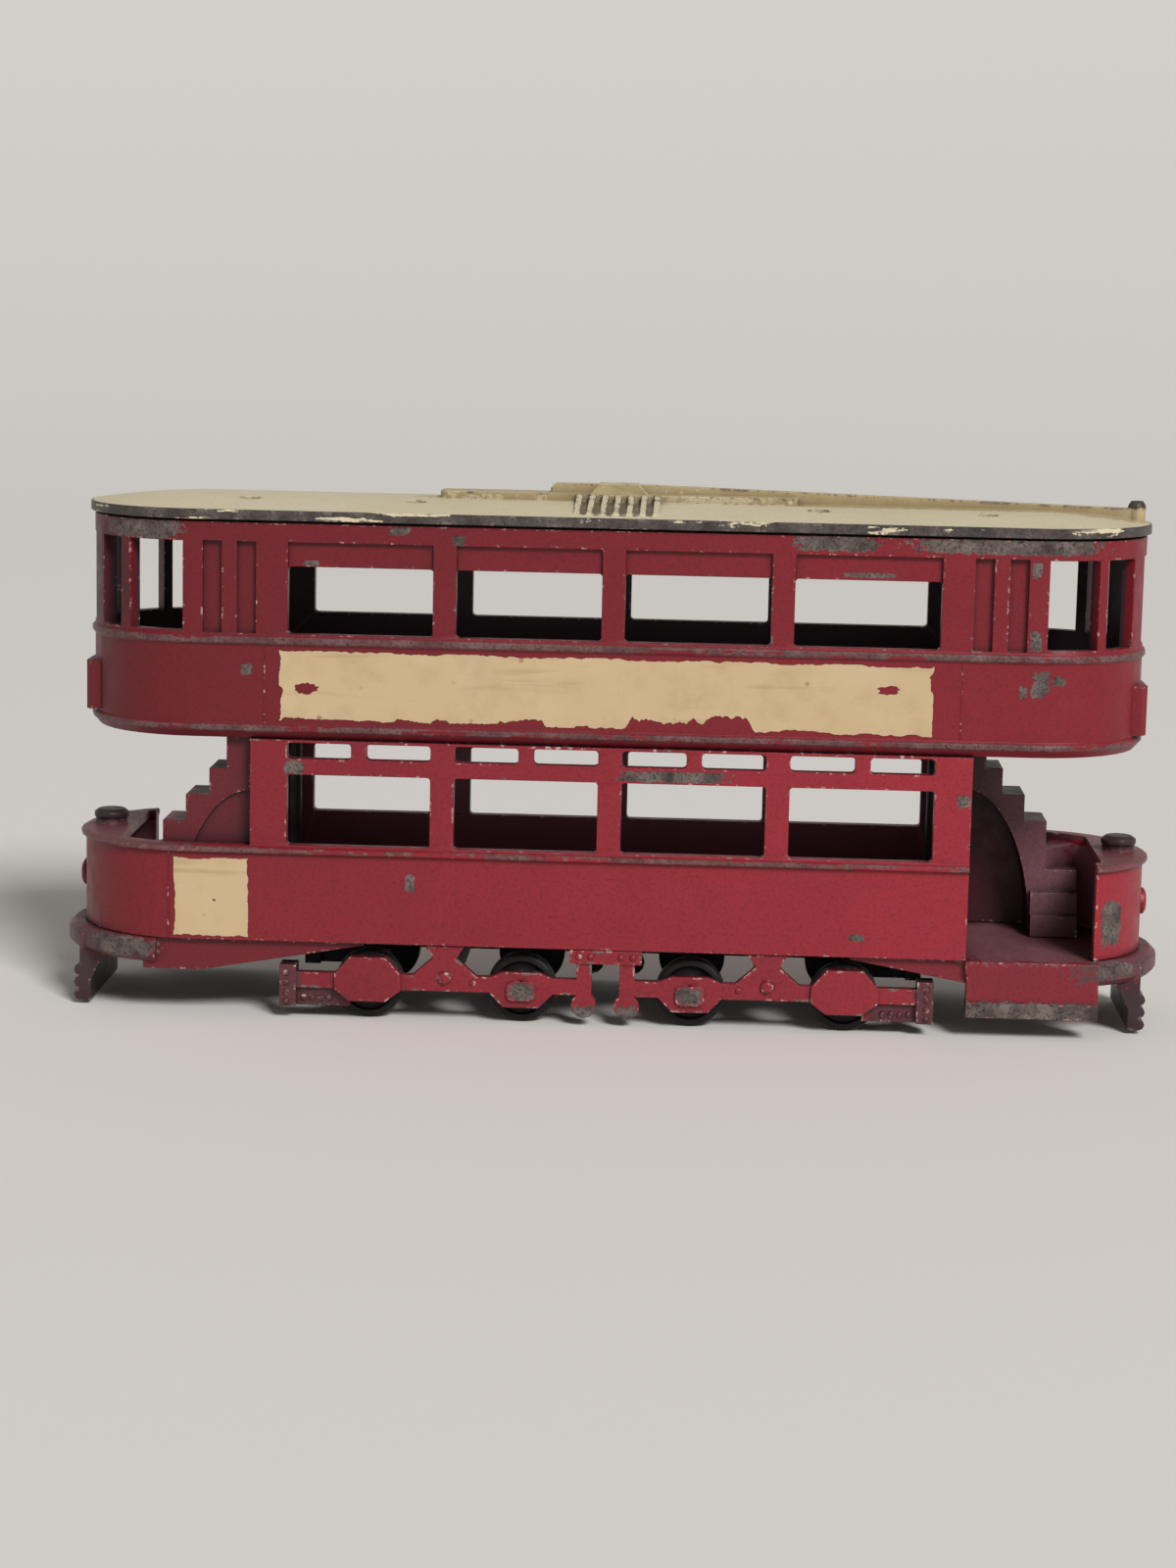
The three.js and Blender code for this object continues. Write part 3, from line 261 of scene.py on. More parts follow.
def casting(name, node, material):
    """A merged copy of one of the car body's solids with its edges rounded, in place of the solid."""
    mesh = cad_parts[node].data.copy()
    mesh.materials.clear()
    mesh.materials.append(material)
    work = bmesh.new()
    work.from_mesh(mesh)
    bmesh.ops.remove_doubles(work, verts=work.verts, dist=0.01 * MM)
    bmesh.ops.dissolve_limit(work, angle_limit=math.radians(1), verts=work.verts, edges=work.edges)
    bmesh.ops.connect_verts_concave(work, faces=work.faces)
    for face in work.faces:
        face.smooth = True
        face.material_index = 0
    work.to_mesh(mesh)
    work.free()
    rough = bpy.data.objects.new(name, mesh)
    scene.collection.objects.link(rough)
    rounding = rough.modifiers.new("rounding", "BEVEL")
    rounding.width = EDGE_ROUNDING * MM
    rounding.segments = 2
    rounding.limit_method = "ANGLE"
    rounding.angle_limit = math.radians(30)
    rounding.use_clamp_overlap = False
    evening = rough.modifiers.new("flat faces stay flat", "WEIGHTED_NORMAL")
    evening.mode = "FACE_AREA"
    evening.weight = 90
    finished = bpy.data.meshes.new_from_object(rough.evaluated_get(bpy.context.evaluated_depsgraph_get()))
    rough.modifiers.clear()
    rough.data = finished
    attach(rough, "car_body")
    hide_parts(node)


CRIMSON, CRIMSON_FADED = "#a12935", "#88232e"
# painted shade colours for rooms and undersides
ROOM_SHADE_RED, UNDERSIDE_SHADE_RED = "#21141a", "#191013"
# levels below and above everything, and a start that leaves nothing out
GROUND, OVERHEAD, EVERYWHERE = -1, 99, -1
BUMPER_PATCHES = (
    ((-35.2, -7.5, 4.93), (2.6, 3.0, 0.7)),
    ((36.5, -6.5, 5.0), (1.6, 2.0, 0.5)),
    ((30.9, -8.5, 2.15), (5.9, 0.8, 0.62)),
    ((-30.9, 8.5, 2.15), (5.6, 0.8, 0.55)),
    ((34.0, 8.2, 4.9), (2.2, 2.4, 0.6)),
)
ENDS = (-1, 1)
PLATFORM_STAINS = ("#7d5a60", 0.8, tuple(((end * 30.6, end * -0.6, 5.7), (6.0, 7.8, 0.45)) for end in ENDS))
BUMPER_STAINS = ("#553f42", 0.85, tuple(((end * 38.5, 0, 4.9), (5.5, 12.0, 0.9)) for end in ENDS))
# the lifeguards darkened to brownish grey, partly worn metal and partly painted shade
LIFEGUARD_WEAR_AND_SHADE = ("#3d2b30", 1.0, tuple(((end * 39.4, 0, 1.6), (3.0, 9.0, 2.9)) for end in ENDS))
dipped_enamel = cast_enamel(
    "crimson enamel on the underframe", CRIMSON_FADED, "#742530", BUMPER_PATCHES,
    stains=(PLATFORM_STAINS, BUMPER_STAINS, LIFEGUARD_WEAR_AND_SHADE),
    # the saloon floor's top and the underside are painted dark as shade
    painted_shade_rooms=((25.0, 7.5, 0.3, (5.6, OVERHEAD), ROOM_SHADE_RED, EVERYWHERE),
             (34.0, 7.3, 0.2, (GROUND, 5.5), UNDERSIDE_SHADE_RED, EVERYWHERE)), wear=0.6)
casting("underframe", "underframe_casting", dipped_enamel)

# Staircases
# Two zinc castings, one on each platform, that wind from the platform up to the deck beside the bulkhead.
# They stand in the shade of the canopy and their enamel has gone brown, with the tread edges bare.
STAIR_STAINS = ("#75525a", 0.85, tuple(((end * 31.5, 0, 12.0), (8.0, 5.2, 11.0)) for end in ENDS))
# the deep hollow reach darkens the recess under the canopy as painted shade
stair_enamel = cast_enamel(
    "crimson enamel on the stairs", "#852a35", "#66262f", stains=(STAIR_STAINS,), wear=0.55,
    dirt_and_shade="#231519", hollows=6)
for end in ("front", "rear"):
    casting(end + "_stairs", end + "_staircase", stair_enamel)

# Lower deck
# One zinc casting with the saloon's sides and bulkheads and the curved dashes, with a moulded waist rail.
# Its red enamel is chipped on the transoms and dash edges and rubbed thin along the rail.
DASH_STRAIGHT, SIDE, INNER_SIDE = 30.67, 8.4, 7.75  # half straight length, half width outside and inside
LOWER_PATCHES = (
    ((4.63, -SIDE, 18.44), (3.9, 0.9, 0.4)),
    ((-22.64, -SIDE, 18.46), (0.75, 0.9, 0.5)),
    ((36.28, -6.0, 8.31), (0.8, 1.6, 1.65)),
    ((25.25, -SIDE, 17.2), (0.5, 0.9, 0.42)),
    ((-14.17, -SIDE, 10.23), (0.36, 0.9, 0.66)),
    ((17.96, -SIDE, 7.15), (0.54, 0.9, 0.26)),
    ((12.0, SIDE, 18.44), (2.4, 0.9, 0.42)),
    ((-9.0, SIDE, 9.1), (0.7, 0.9, 0.4)),
    ((-36.3, 6.0, 7.4), (0.7, 1.6, 1.1)),
)
DASH_STAINS = ("#70494c", 0.9, tuple(((end * 35.5, 0, 12.75), (6.5, 11.0, 0.5)) for end in ENDS))
KNOB_STAINS = ("#3a2c2f", 1.0, tuple(((end * 37.3, 0, 13.75), (2.6, 2.6, 0.9)) for end in ENDS))
# the bulkhead faces, the saloon's inside and the dashes' inner faces are painted in shade tones
lower_enamel = cast_enamel(
    "crimson enamel on the lower deck", CRIMSON, CRIMSON_FADED, LOWER_PATCHES,
    stains=(DASH_STAINS, KNOB_STAINS), crest=(DASH_STRAIGHT, 8.5, 8.66, [(11.9, 12.8)], "#733035", 0.8),
    painted_shade_rooms=((26.0, INNER_SIDE, 0.2, (5.0, OVERHEAD), "#38191e", EVERYWHERE),
             (25.3, INNER_SIDE, 0.0, (5.0, OVERHEAD), "#96525d", EVERYWHERE),
             (DASH_STRAIGHT, 0, INNER_SIDE, (5.0, 11.9), "#8c5860", 26.5)), wear=0.5)
casting("lower_deck", "lower_deck_casting", lower_enamel)

# Upper deck
# One zinc casting with deck floor, panelled sides, window pillars and rounded ends, riveted to the saloon.
# The cantrail and mouldings that a hand grips first have lost most of their red enamel.
UPPER_PATCHES = (
    ((-33.7, -7.5, 35.2), (2.9, 3.0, 0.66)),
    ((15.55, -SIDE, 35.35), (3.0, 0.9, 0.55)),
    ((27.9, -8.0, 35.4), (6.9, 2.0, 0.55)),
    ((18.2, -SIDE, 33.17), (1.92, 0.9, 0.17)),
    ((30.34, -8.2, 25.76), (0.66, 0.9, 0.9)),
    ((29.13, -8.3, 25.2), (0.3, 0.9, 0.42)),
    ((31.6, -8.1, 25.98), (0.5, 0.9, 0.34)),
    ((29.86, -SIDE, 28.82), (0.42, 0.9, 0.7)),
    ((29.8, -SIDE, 33.86), (0.36, 0.9, 0.56)),
    ((-15.29, -SIDE, 35.5), (0.8, 0.9, 0.28)),
    ((-11.03, -SIDE, 34.92), (0.52, 0.9, 0.36)),
    ((-21.53, -SIDE, 33.07), (0.6, 0.9, 0.2)),
    ((-26.09, -SIDE, 25.41), (0.4, 0.9, 0.36)),
    ((20.0, SIDE, 35.2), (6.0, 0.9, 0.5)),
    ((-28.0, 8.2, 35.1), (3.4, 1.4, 0.5)),
    ((-5.0, SIDE, 33.1), (1.6, 0.9, 0.2)),
    ((27.5, SIDE, 24.6), (0.6, 0.9, 0.8)),
)
DECK_STRAIGHT = 29.95  # half the straight length
# painted shade on the pillars of the rear end
REAR_PILLAR_SHADE = ("#3f2329", 0.75, (((-37.2, 0, 31.4), (2.6, 9.5, 3.9)),))
# the inside of the upper deck is painted dark as shade
upper_enamel = cast_enamel(
    "crimson enamel on the upper deck", "#881f2a", "#741b25", UPPER_PATCHES, stains=(REAR_PILLAR_SHADE,),
    crest=(DECK_STRAIGHT, 8.48, 8.56, [(20.85, 21.55), (27.1, 27.9)], "#672a31", 0.9),
    painted_shade_rooms=((DECK_STRAIGHT, 0, INNER_SIDE, (21.3, OVERHEAD), "#3a2a31", EVERYWHERE),), wear=0.5)
casting("upper_deck", "upper_deck_casting", upper_enamel)

# Parting lines
# Thin raised lines cast on the panels where two parts of the mould met: on the upper deck beside the
# banners, and on the dashes by the stairs. They share the panels' enamel and are rubbed bright in places.
def grown(name, mesh, group, sizes):
    """The plain mesh that a node group makes from another, riding on the car body."""
    piece = bpy.data.objects.new(name, mesh)
    scene.collection.objects.link(piece)
    modifier = piece.modifiers.new("growth", "NODES")
    modifier.node_group = group
    for item in group.interface.items_tree:
        if item.name in sizes:
            modifier[item.identifier] = sizes[item.name]
    made = bpy.data.meshes.new_from_object(piece.evaluated_get(bpy.context.evaluated_depsgraph_get()))
    piece.modifiers.clear()
    piece.data = made
    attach(piece, "car_body")


ridges = bpy.data.node_groups.new("ridges along lines", "GeometryNodeTree")
ridges.interface.new_socket("Geometry", in_out="INPUT", socket_type="NodeSocketGeometry")
ridges.interface.new_socket("Geometry", in_out="OUTPUT", socket_type="NodeSocketGeometry")
ridges.interface.new_socket("Ridge radius", in_out="INPUT", socket_type="NodeSocketFloat")
ridges.interface.new_socket("Enamel", in_out="INPUT", socket_type="NodeSocketMaterial")
given = add_node(ridges, "NodeGroupInput", out=None)
path = add_node(ridges, "GeometryNodeMeshToCurve", {"Mesh": given.outputs["Geometry"]})
round_section = add_node(ridges, "GeometryNodeCurvePrimitiveCircle", {
    "Resolution": 8, "Radius": given.outputs["Ridge radius"]})
swept = add_node(ridges, "GeometryNodeCurveToMesh", {
    "Curve": path, "Profile Curve": round_section, "Fill Caps": True})
real = add_node(ridges, "GeometryNodeRealizeInstances", {"Geometry": swept})
painted = add_node(ridges, "GeometryNodeSetMaterial", {
    "Geometry": real, "Material": given.outputs["Enamel"]})
add_node(ridges, "NodeGroupOutput", {"Geometry": painted}, out=None)

for name, places, levels, enamel in (
    ("panel_parting_lines", ((24.8, 8.39), (-24.8, 8.39)), (21.5, 27.15), upper_enamel),
    ("dash_parting_lines", ((31.7, 8.33),), (5.75, 12.05), lower_enamel),
):
    ends = [(half * x, half * y, z) for x, y in places for half in (1, -1) for z in levels]
    lines = bpy.data.meshes.new(name)
    lines.from_pydata([Vector(end) * MM for end in ends], [(i, i + 1) for i in range(0, len(ends), 2)], [])
    grown(name, lines, ridges, {"Ridge radius": 0.06 * MM, "Enamel": enamel})

# Roof
# One zinc casting in cream enamel with a plank, a tied-down trolley pole and a row of louvre slats cast on.
# The rim is rubbed to dark metal, years of dust have browned the pole, and the gaps between the slats are
# browned by dust and painted shade.
CREAM, CREAM_FADED = "#ddd2b5", "#cdc09d"
POLE_STAINS = ("#a58d5c", 0.75, (
    ((21.0, 0, 37.9), (19.0, 1.7, 1.1)),
    ((36.5, 0, 37.6), (4.0, 2.6, 1.0)),
    ((-4.0, 0, 37.9), (10.5, 1.8, 0.9)),
))
GAPS, SLAT_PITCH = 6, 0.94
# the gaps between the slats darkened brown, partly dust and partly painted shade
GAP_DUST_AND_SHADE = ("#5a4a33", 0.92, tuple(
    ((SLAT_PITCH * (gap - (GAPS - 1) / 2), side * 4.9, 37.2), (0.28, 2.9, 1.2))
    for gap in range(GAPS)
    for side in (-1, 1)
))
HEAD_STAINS = ("#2b2523", 0.95, (((37.55, 0, 38.5), (1.2, 1.2, 0.85)),))
# the roof's underside and posts are painted dark as shade, in a dull bare-zinc tone
roof_enamel = cast_enamel(
    "cream enamel on the roof", CREAM, CREAM_FADED, stains=(POLE_STAINS, GAP_DUST_AND_SHADE, HEAD_STAINS),
    crest=(DECK_STRAIGHT, 8.52, 8.6, [(35.9, 36.8)], "#2b2829", 1.0), wear=0.9, specks=0.14,
    painted_shade_rooms=((DECK_STRAIGHT, 0, 7.4, (20, 36.05), "#38312c", EVERYWHERE),),
    dirt_and_shade="#54452b", fleck="#3a312b", rear_shade=0)
casting("roof", "roof_casting", roof_enamel)

# Truck frames
# Two long zinc castings that carry the axle boxes of both trucks, riveted to the bolsters on each side.
# They are dipped in the same red, with the axle box covers and the lowest feet rubbed bare.
FRAME_PATCHES = tuple(
    ((x, side * SIDE, z), size)
    for side in (-1, 1)
    for x, z, size in (
        (6.1, 2.5, (0.95, 0.6, 0.62)),
        (-6.1, 2.5, (0.95, 0.6, 0.62)),
        (1.55, 0.9, (0.8, 0.9, 0.7)),
        (-1.55, 0.9, (0.8, 0.9, 0.7)),
    )
)
BRACKET_STAINS = ("#4b3438", 0.85, tuple(
    ((end * x, side * 8.3, z), half)
    for side in (-1, 1)
    for end in ENDS
    for x, z, half in ((23.4, 2.5, (1.3, 2.0, 2.4)), (21.2, 1.4, (2.4, 2.0, 0.85)))
))
# the frames' inner faces and the underside are painted dark as shade
frame_enamel = cast_enamel(
    "crimson enamel on the truck frames", CRIMSON, "#7d2430", FRAME_PATCHES, stains=(BRACKET_STAINS,),
    painted_shade_rooms=((60.0, 7.5, 0.1, (GROUND, 9), UNDERSIDE_SHADE_RED, EVERYWHERE),), wear=0.75)
for side in ("left", "right"):
    casting(side + "_frame", side + "_truck_frame", frame_enamel)
    for end in ("front", "rear"):
        casting(f"{end}_frame_rivet_head_{side}", f"{end}_frame_rivet_{side}", frame_enamel)

# Cast rivet heads
# Small domes cast on the truck frames where the full-size trucks are riveted: on the centre plates, the end
# brackets and the strips below the end axle boxes. They share the frames' enamel.
domes = bpy.data.node_groups.new("domes on points", "GeometryNodeTree")
domes.interface.new_socket("Geometry", in_out="INPUT", socket_type="NodeSocketGeometry")
domes.interface.new_socket("Geometry", in_out="OUTPUT", socket_type="NodeSocketGeometry")
for size_name in ("Dome radius", "Dome height"):
    domes.interface.new_socket(size_name, in_out="INPUT", socket_type="NodeSocketFloat")
given = add_node(domes, "NodeGroupInput", out=None)
ball = add_node(domes, "GeometryNodeMeshUVSphere", {"Segments": 12, "Rings": 8, "Radius": 1.0}, out="Mesh")
rounded = add_node(domes, "GeometryNodeSetShadeSmooth", {"Geometry": ball})
radius, height = given.outputs["Dome radius"], given.outputs["Dome height"]
squash = add_node(domes, "ShaderNodeCombineXYZ", {"X": radius, "Y": height, "Z": radius})
placed = add_node(domes, "GeometryNodeInstanceOnPoints", {
    "Points": given.outputs["Geometry"], "Instance": rounded, "Scale": squash})
real = add_node(domes, "GeometryNodeRealizeInstances", {"Geometry": placed})
painted = add_node(domes, "GeometryNodeSetMaterial", {"Geometry": real, "Material": frame_enamel})
add_node(domes, "NodeGroupOutput", {"Geometry": painted}, out=None)

RIVET_PLACES = [(9.6, 3.0), (1.1, 5.2), (1.95, 5.2)]
RIVET_PLACES += [(20.0 + 0.62 * i, 1.5) for i in range(4)]
RIVET_PLACES += [(23.1, 1.3 + 0.7 * i) for i in range(4)]
frame_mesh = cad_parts["right_truck_frame"].data
frame_faces = [face.vertices for face in frame_mesh.polygons]
frame_surface = BVHTree.FromPolygons([vert.co for vert in frame_mesh.vertices], frame_faces)
points = []
for along, up in RIVET_PLACES:
    for x in (along, -along):
        spot = frame_surface.ray_cast(Vector((x, -20, up)) * MM, Vector((0, 1, 0)))[0]
        points += [spot, Vector((-spot.x, -spot.y, spot.z))]
dots = bpy.data.meshes.new("rivet places")
dots.from_pydata(points, [], [])
grown("frame_rivet_domes", dots, domes, {"Dome radius": 0.24 * MM, "Dome height": 0.17 * MM})

# Wheelsets
# Four turned steel axles with a pair of blackened wheels pressed on each, which roll in the axle boxes.
# The treads are polished grey by rolling, and the rest of the wheel is dark and dusty.
WHEEL_IN, WHEEL_OUT = 5.75, 7.15
AXLE_HEIGHT = 2.5
TURNED_FACETS = 56
WHEEL_SECTION = [
    (WHEEL_IN, 0.67), (WHEEL_IN, 2.3), (WHEEL_IN + 0.07, 2.43), (WHEEL_IN + 0.2, 2.5),
    (WHEEL_OUT - 0.2, 2.5), (WHEEL_OUT - 0.07, 2.43), (WHEEL_OUT, 2.3), (WHEEL_OUT, 1.99),
    (WHEEL_OUT - 0.06, 1.93), (WHEEL_OUT - 0.25, 1.88), (WHEEL_OUT - 0.3, 1.8), (WHEEL_OUT - 0.3, 1.25),
    (WHEEL_OUT - 0.25, 1.16), (WHEEL_OUT - 0.06, 1.12), (WHEEL_OUT, 1.05), (WHEEL_OUT, 0.67),
]
AXLE_SECTION = [(-8.05, 0), (-8.05, 0.45), (-7.92, 0.6), (7.92, 0.6), (8.05, 0.45), (8.05, 0)]


def turned(name, sections, closed, along, material, body, nodes):
    """Sections of (across, radius) in mm, turned round an axle at that place along the car."""
    work = bmesh.new()
    for section in sections:
        ring = [
            work.verts.new(Vector((along, across, AXLE_HEIGHT + radius)) * MM)
            for across, radius in section
        ]
        pairs = list(zip(ring, ring[1:])) + ([(ring[-1], ring[0])] if closed else [])
        lines = [work.edges.new(pair) for pair in pairs]
        bmesh.ops.spin(work, geom=ring + lines, cent=Vector((along, 0, AXLE_HEIGHT)) * MM,
                       axis=(0, 1, 0), angle=2 * math.pi, steps=TURNED_FACETS)
    bmesh.ops.remove_doubles(work, verts=work.verts, dist=0.002 * MM)
    bmesh.ops.recalc_face_normals(work, faces=work.faces)
    radius_of = work.verts.layers.float.new("turned_radius")
    for vert in work.verts:
        vert[radius_of] = math.hypot(vert.co.x / MM - along, vert.co.z / MM - AXLE_HEIGHT)
    for face in work.faces:
        face.smooth = True
    for line in work.edges:
        line.smooth = line.calc_face_angle(0) < math.radians(40)
    mesh = bpy.data.meshes.new(name)
    work.to_mesh(mesh)
    work.free()
    mesh.materials.append(material)
    piece = bpy.data.objects.new(name, mesh)
    scene.collection.objects.link(piece)
    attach(piece, body)
    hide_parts(*nodes)


def turned_steel(name, dark, bright, tread, metallic, roughness):
    """Steel from a lathe: fine rings round the axis, dull where blackened and brighter where it rolls."""
    material = bpy.data.materials.new(name)
    material.use_nodes = True
    tree = material.node_tree
    tree.nodes.clear()
    radius = add_node(tree, "ShaderNodeAttribute", attribute_name="turned_radius", out="Fac")
    coordinates = add_node(tree, "ShaderNodeTexCoord", out="Object")
    # dust in patches of about 0.7 mm, and tool rings drawn 0.12 mm apart so that they show
    dust = add_node(tree, "ShaderNodeTexNoise", {
        "Vector": coordinates, "Scale": 1 / (0.7 * MM), "Detail": 5})
    rings = add_node(tree, "ShaderNodeMath", {0: radius, 1: 2 * math.pi / 0.12}, operation="MULTIPLY")
    wave = add_node(tree, "ShaderNodeMath", {0: rings}, operation="SINE")
    rolled = add_node(tree, "ShaderNodeMapRange", {
        "Value": radius, "From Min": tread - 0.1, "From Max": tread})
    share = add_node(tree, "ShaderNodeMath", {0: rolled, 1: dust}, operation="MULTIPLY")
    colour = add_node(tree, "ShaderNodeMix", {"Factor": share, "A": linear(dark), "B": linear(bright)},
                      data_type="RGBA", out="Result")
    matt = add_node(tree, "ShaderNodeMath", {0: dust, 1: 0.25, 2: roughness}, operation="MULTIPLY_ADD")
    bump = add_node(tree, "ShaderNodeBump", {"Height": wave, "Strength": 0.25, "Distance": 0.01 * MM})
    shader = add_node(tree, "ShaderNodeBsdfPrincipled", {
        "Base Color": colour, "Metallic": metallic, "Roughness": matt, "Normal": bump})
    add_node(tree, "ShaderNodeOutputMaterial", {"Surface": shader}, out=None)
    return material


blackened = turned_steel(
    "blackened steel wheels", "#1d1a1b", "#5f5955", tread=2.5, metallic=0.6, roughness=0.42)
bright_steel = turned_steel(
    "turned steel axles", "#a5a19b", "#c2beb6", tread=0.6, metallic=1.0, roughness=0.22)
AXLES = {"front_outer": 17.2, "front_inner": 6.1, "rear_inner": -6.1, "rear_outer": -17.2}
mirrored_section = [(-across, radius) for across, radius in WHEEL_SECTION]
for axle, along in AXLES.items():
    turned(axle + "_wheels", [WHEEL_SECTION, mirrored_section], True, along, blackened, axle + "_wheelset",
           [axle + "_wheel_left", axle + "_wheel_right"])
    turned(axle + "_axle_pin", [AXLE_SECTION], False, along, bright_steel, axle + "_wheelset",
           [axle + "_axle"])

# Inner rivets
# Four steel rivets inside the car hold the roof's posts to the deck floor and the deck to the underframe.
# They keep their solids, and at most a small dull head shows through a window.
inner_steel = bpy.data.materials.new("dull steel rivets")
inner_steel.use_nodes = True
rivet_tree = inner_steel.node_tree
spots = add_node(rivet_tree, "ShaderNodeTexNoise", {
    "Vector": add_node(rivet_tree, "ShaderNodeTexCoord", out="Object"), "Scale": 1 / (0.3 * MM)})
tarnish = add_node(rivet_tree, "ShaderNodeMix", {
    "Factor": spots, "A": linear("#3d3a39"), "B": linear("#86817b")}, data_type="RGBA", out="Result")
rivet_shader = rivet_tree.nodes["Principled BSDF"]
rivet_tree.links.new(tarnish, rivet_shader.inputs["Base Color"])
rivet_shader.inputs["Metallic"].default_value = 1.0
rivet_shader.inputs["Roughness"].default_value = 0.42
for end in ("front", "rear"):
    for held in ("roof", "deck"):
        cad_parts[f"{end}_{held}_rivet"].material_slots[0].material = inner_steel

# Transfers
# Cream lacquer films for the sides of the upper deck and the dashes, slid on wet and long since chipped.
# They are blank. Each stands 0.03 mm proud of the enamel, torn along its edges and yellowed.
FILM = 0.03
CHIP, HOLE_POINTS = 0.16, 22  # length of one chip of an edge, and points round a hole
BENDS, BEND_STEP = 7, 0.3  # cuts across a film that let it bend round each end


def chipped_edge(start, end, draw, bite, losses=()):
    """Points from start to end, gnawed to the left of the way by up to bite, and deeper at the losses."""
    way = Vector(end) - Vector(start)
    inward = Vector((-way.y, way.x)).normalized()
    steps = max(2, round(way.length / CHIP))
    gnawed, jag = 0.0, 0.8
    for step in range(steps):
        share = step / steps
        gnawed = min(bite, max(0.0, gnawed + draw.uniform(-0.45, 0.42) * bite))
        jag = min(1.1, max(0.35, jag + draw.uniform(-0.22, 0.22)))
        deep = sum(
            depth * jag * min(1, 8 * (1 - abs(2 * (share - a) / (b - a) - 1)))
            for a, b, depth in losses if a < share < b)
        corner = 0.0 if step == 0 else 1.0
        yield Vector(start) + way * share + inward * max(gnawed, deep) * corner


def transfer(corners, seed, bite, losses, holes):
    """A flat film of (along, up) corners in mm as a bmesh in the X-Z plane, with torn edges and holes."""
    draw = random.Random(seed)
    work = bmesh.new()
    (left, low), (right, high) = corners
    ring = [(left, low), (right, low), (right, high), (left, high)]
    outline = []
    for index, start in enumerate(ring):
        outline += chipped_edge(start, ring[(index + 1) % 4], draw, bite, losses.get(index, ()))
    loops = [outline]
    for (x, z), (half_x, half_z) in holes:
        hole = []
        for point in range(HOLE_POINTS):
            turn = 2 * math.pi * point / HOLE_POINTS
            reach = draw.uniform(0.7, 1.15)
            hole.append(Vector((x + half_x * reach * math.cos(turn), z + half_z * reach * math.sin(turn))))
        loops.append(hole)
    for loop in loops:
        verts = [work.verts.new((p.x, 0, p.y)) for p in loop]
        for index, vert in enumerate(verts):
            work.edges.new((vert, verts[(index + 1) % len(verts)]))
    bmesh.ops.triangle_fill(work, use_beauty=True, use_dissolve=False, edges=work.edges)
    return work


def lay_film(work, half_length, reach, turned_round):
    """Bends a flat film round the car's plan, gives it its thickness and turns it half round if asked."""
    for cut in range(1, BENDS + 1):
        for end in ENDS:
            bend = end * (half_length + BEND_STEP * cut)
            bmesh.ops.bisect_plane(work, geom=work.verts[:] + work.edges[:] + work.faces[:], dist=1e-6,
                                   plane_co=(bend, 0, 0), plane_no=(1, 0, 0))
    bmesh.ops.recalc_face_normals(work, faces=work.faces)
    shell = bmesh.ops.extrude_face_region(work, geom=work.faces[:])
    raised = {item for item in shell["geom"] if isinstance(item, bmesh.types.BMVert)}
    for vert in work.verts:
        past = max(0.0, abs(vert.co.x) - half_length)
        out = reach + (FILM if vert in raised else -FILM)
        slant = math.sqrt(reach * reach - past * past) / reach
        over = past / reach
        vert.co.x += math.copysign((out - reach) * over, vert.co.x)
        vert.co.y = -out * slant
    for vert in work.verts:
        vert.co *= MM
        if turned_round:
            vert.co.x, vert.co.y = -vert.co.x, -vert.co.y
    bmesh.ops.recalc_face_normals(work, faces=work.faces)


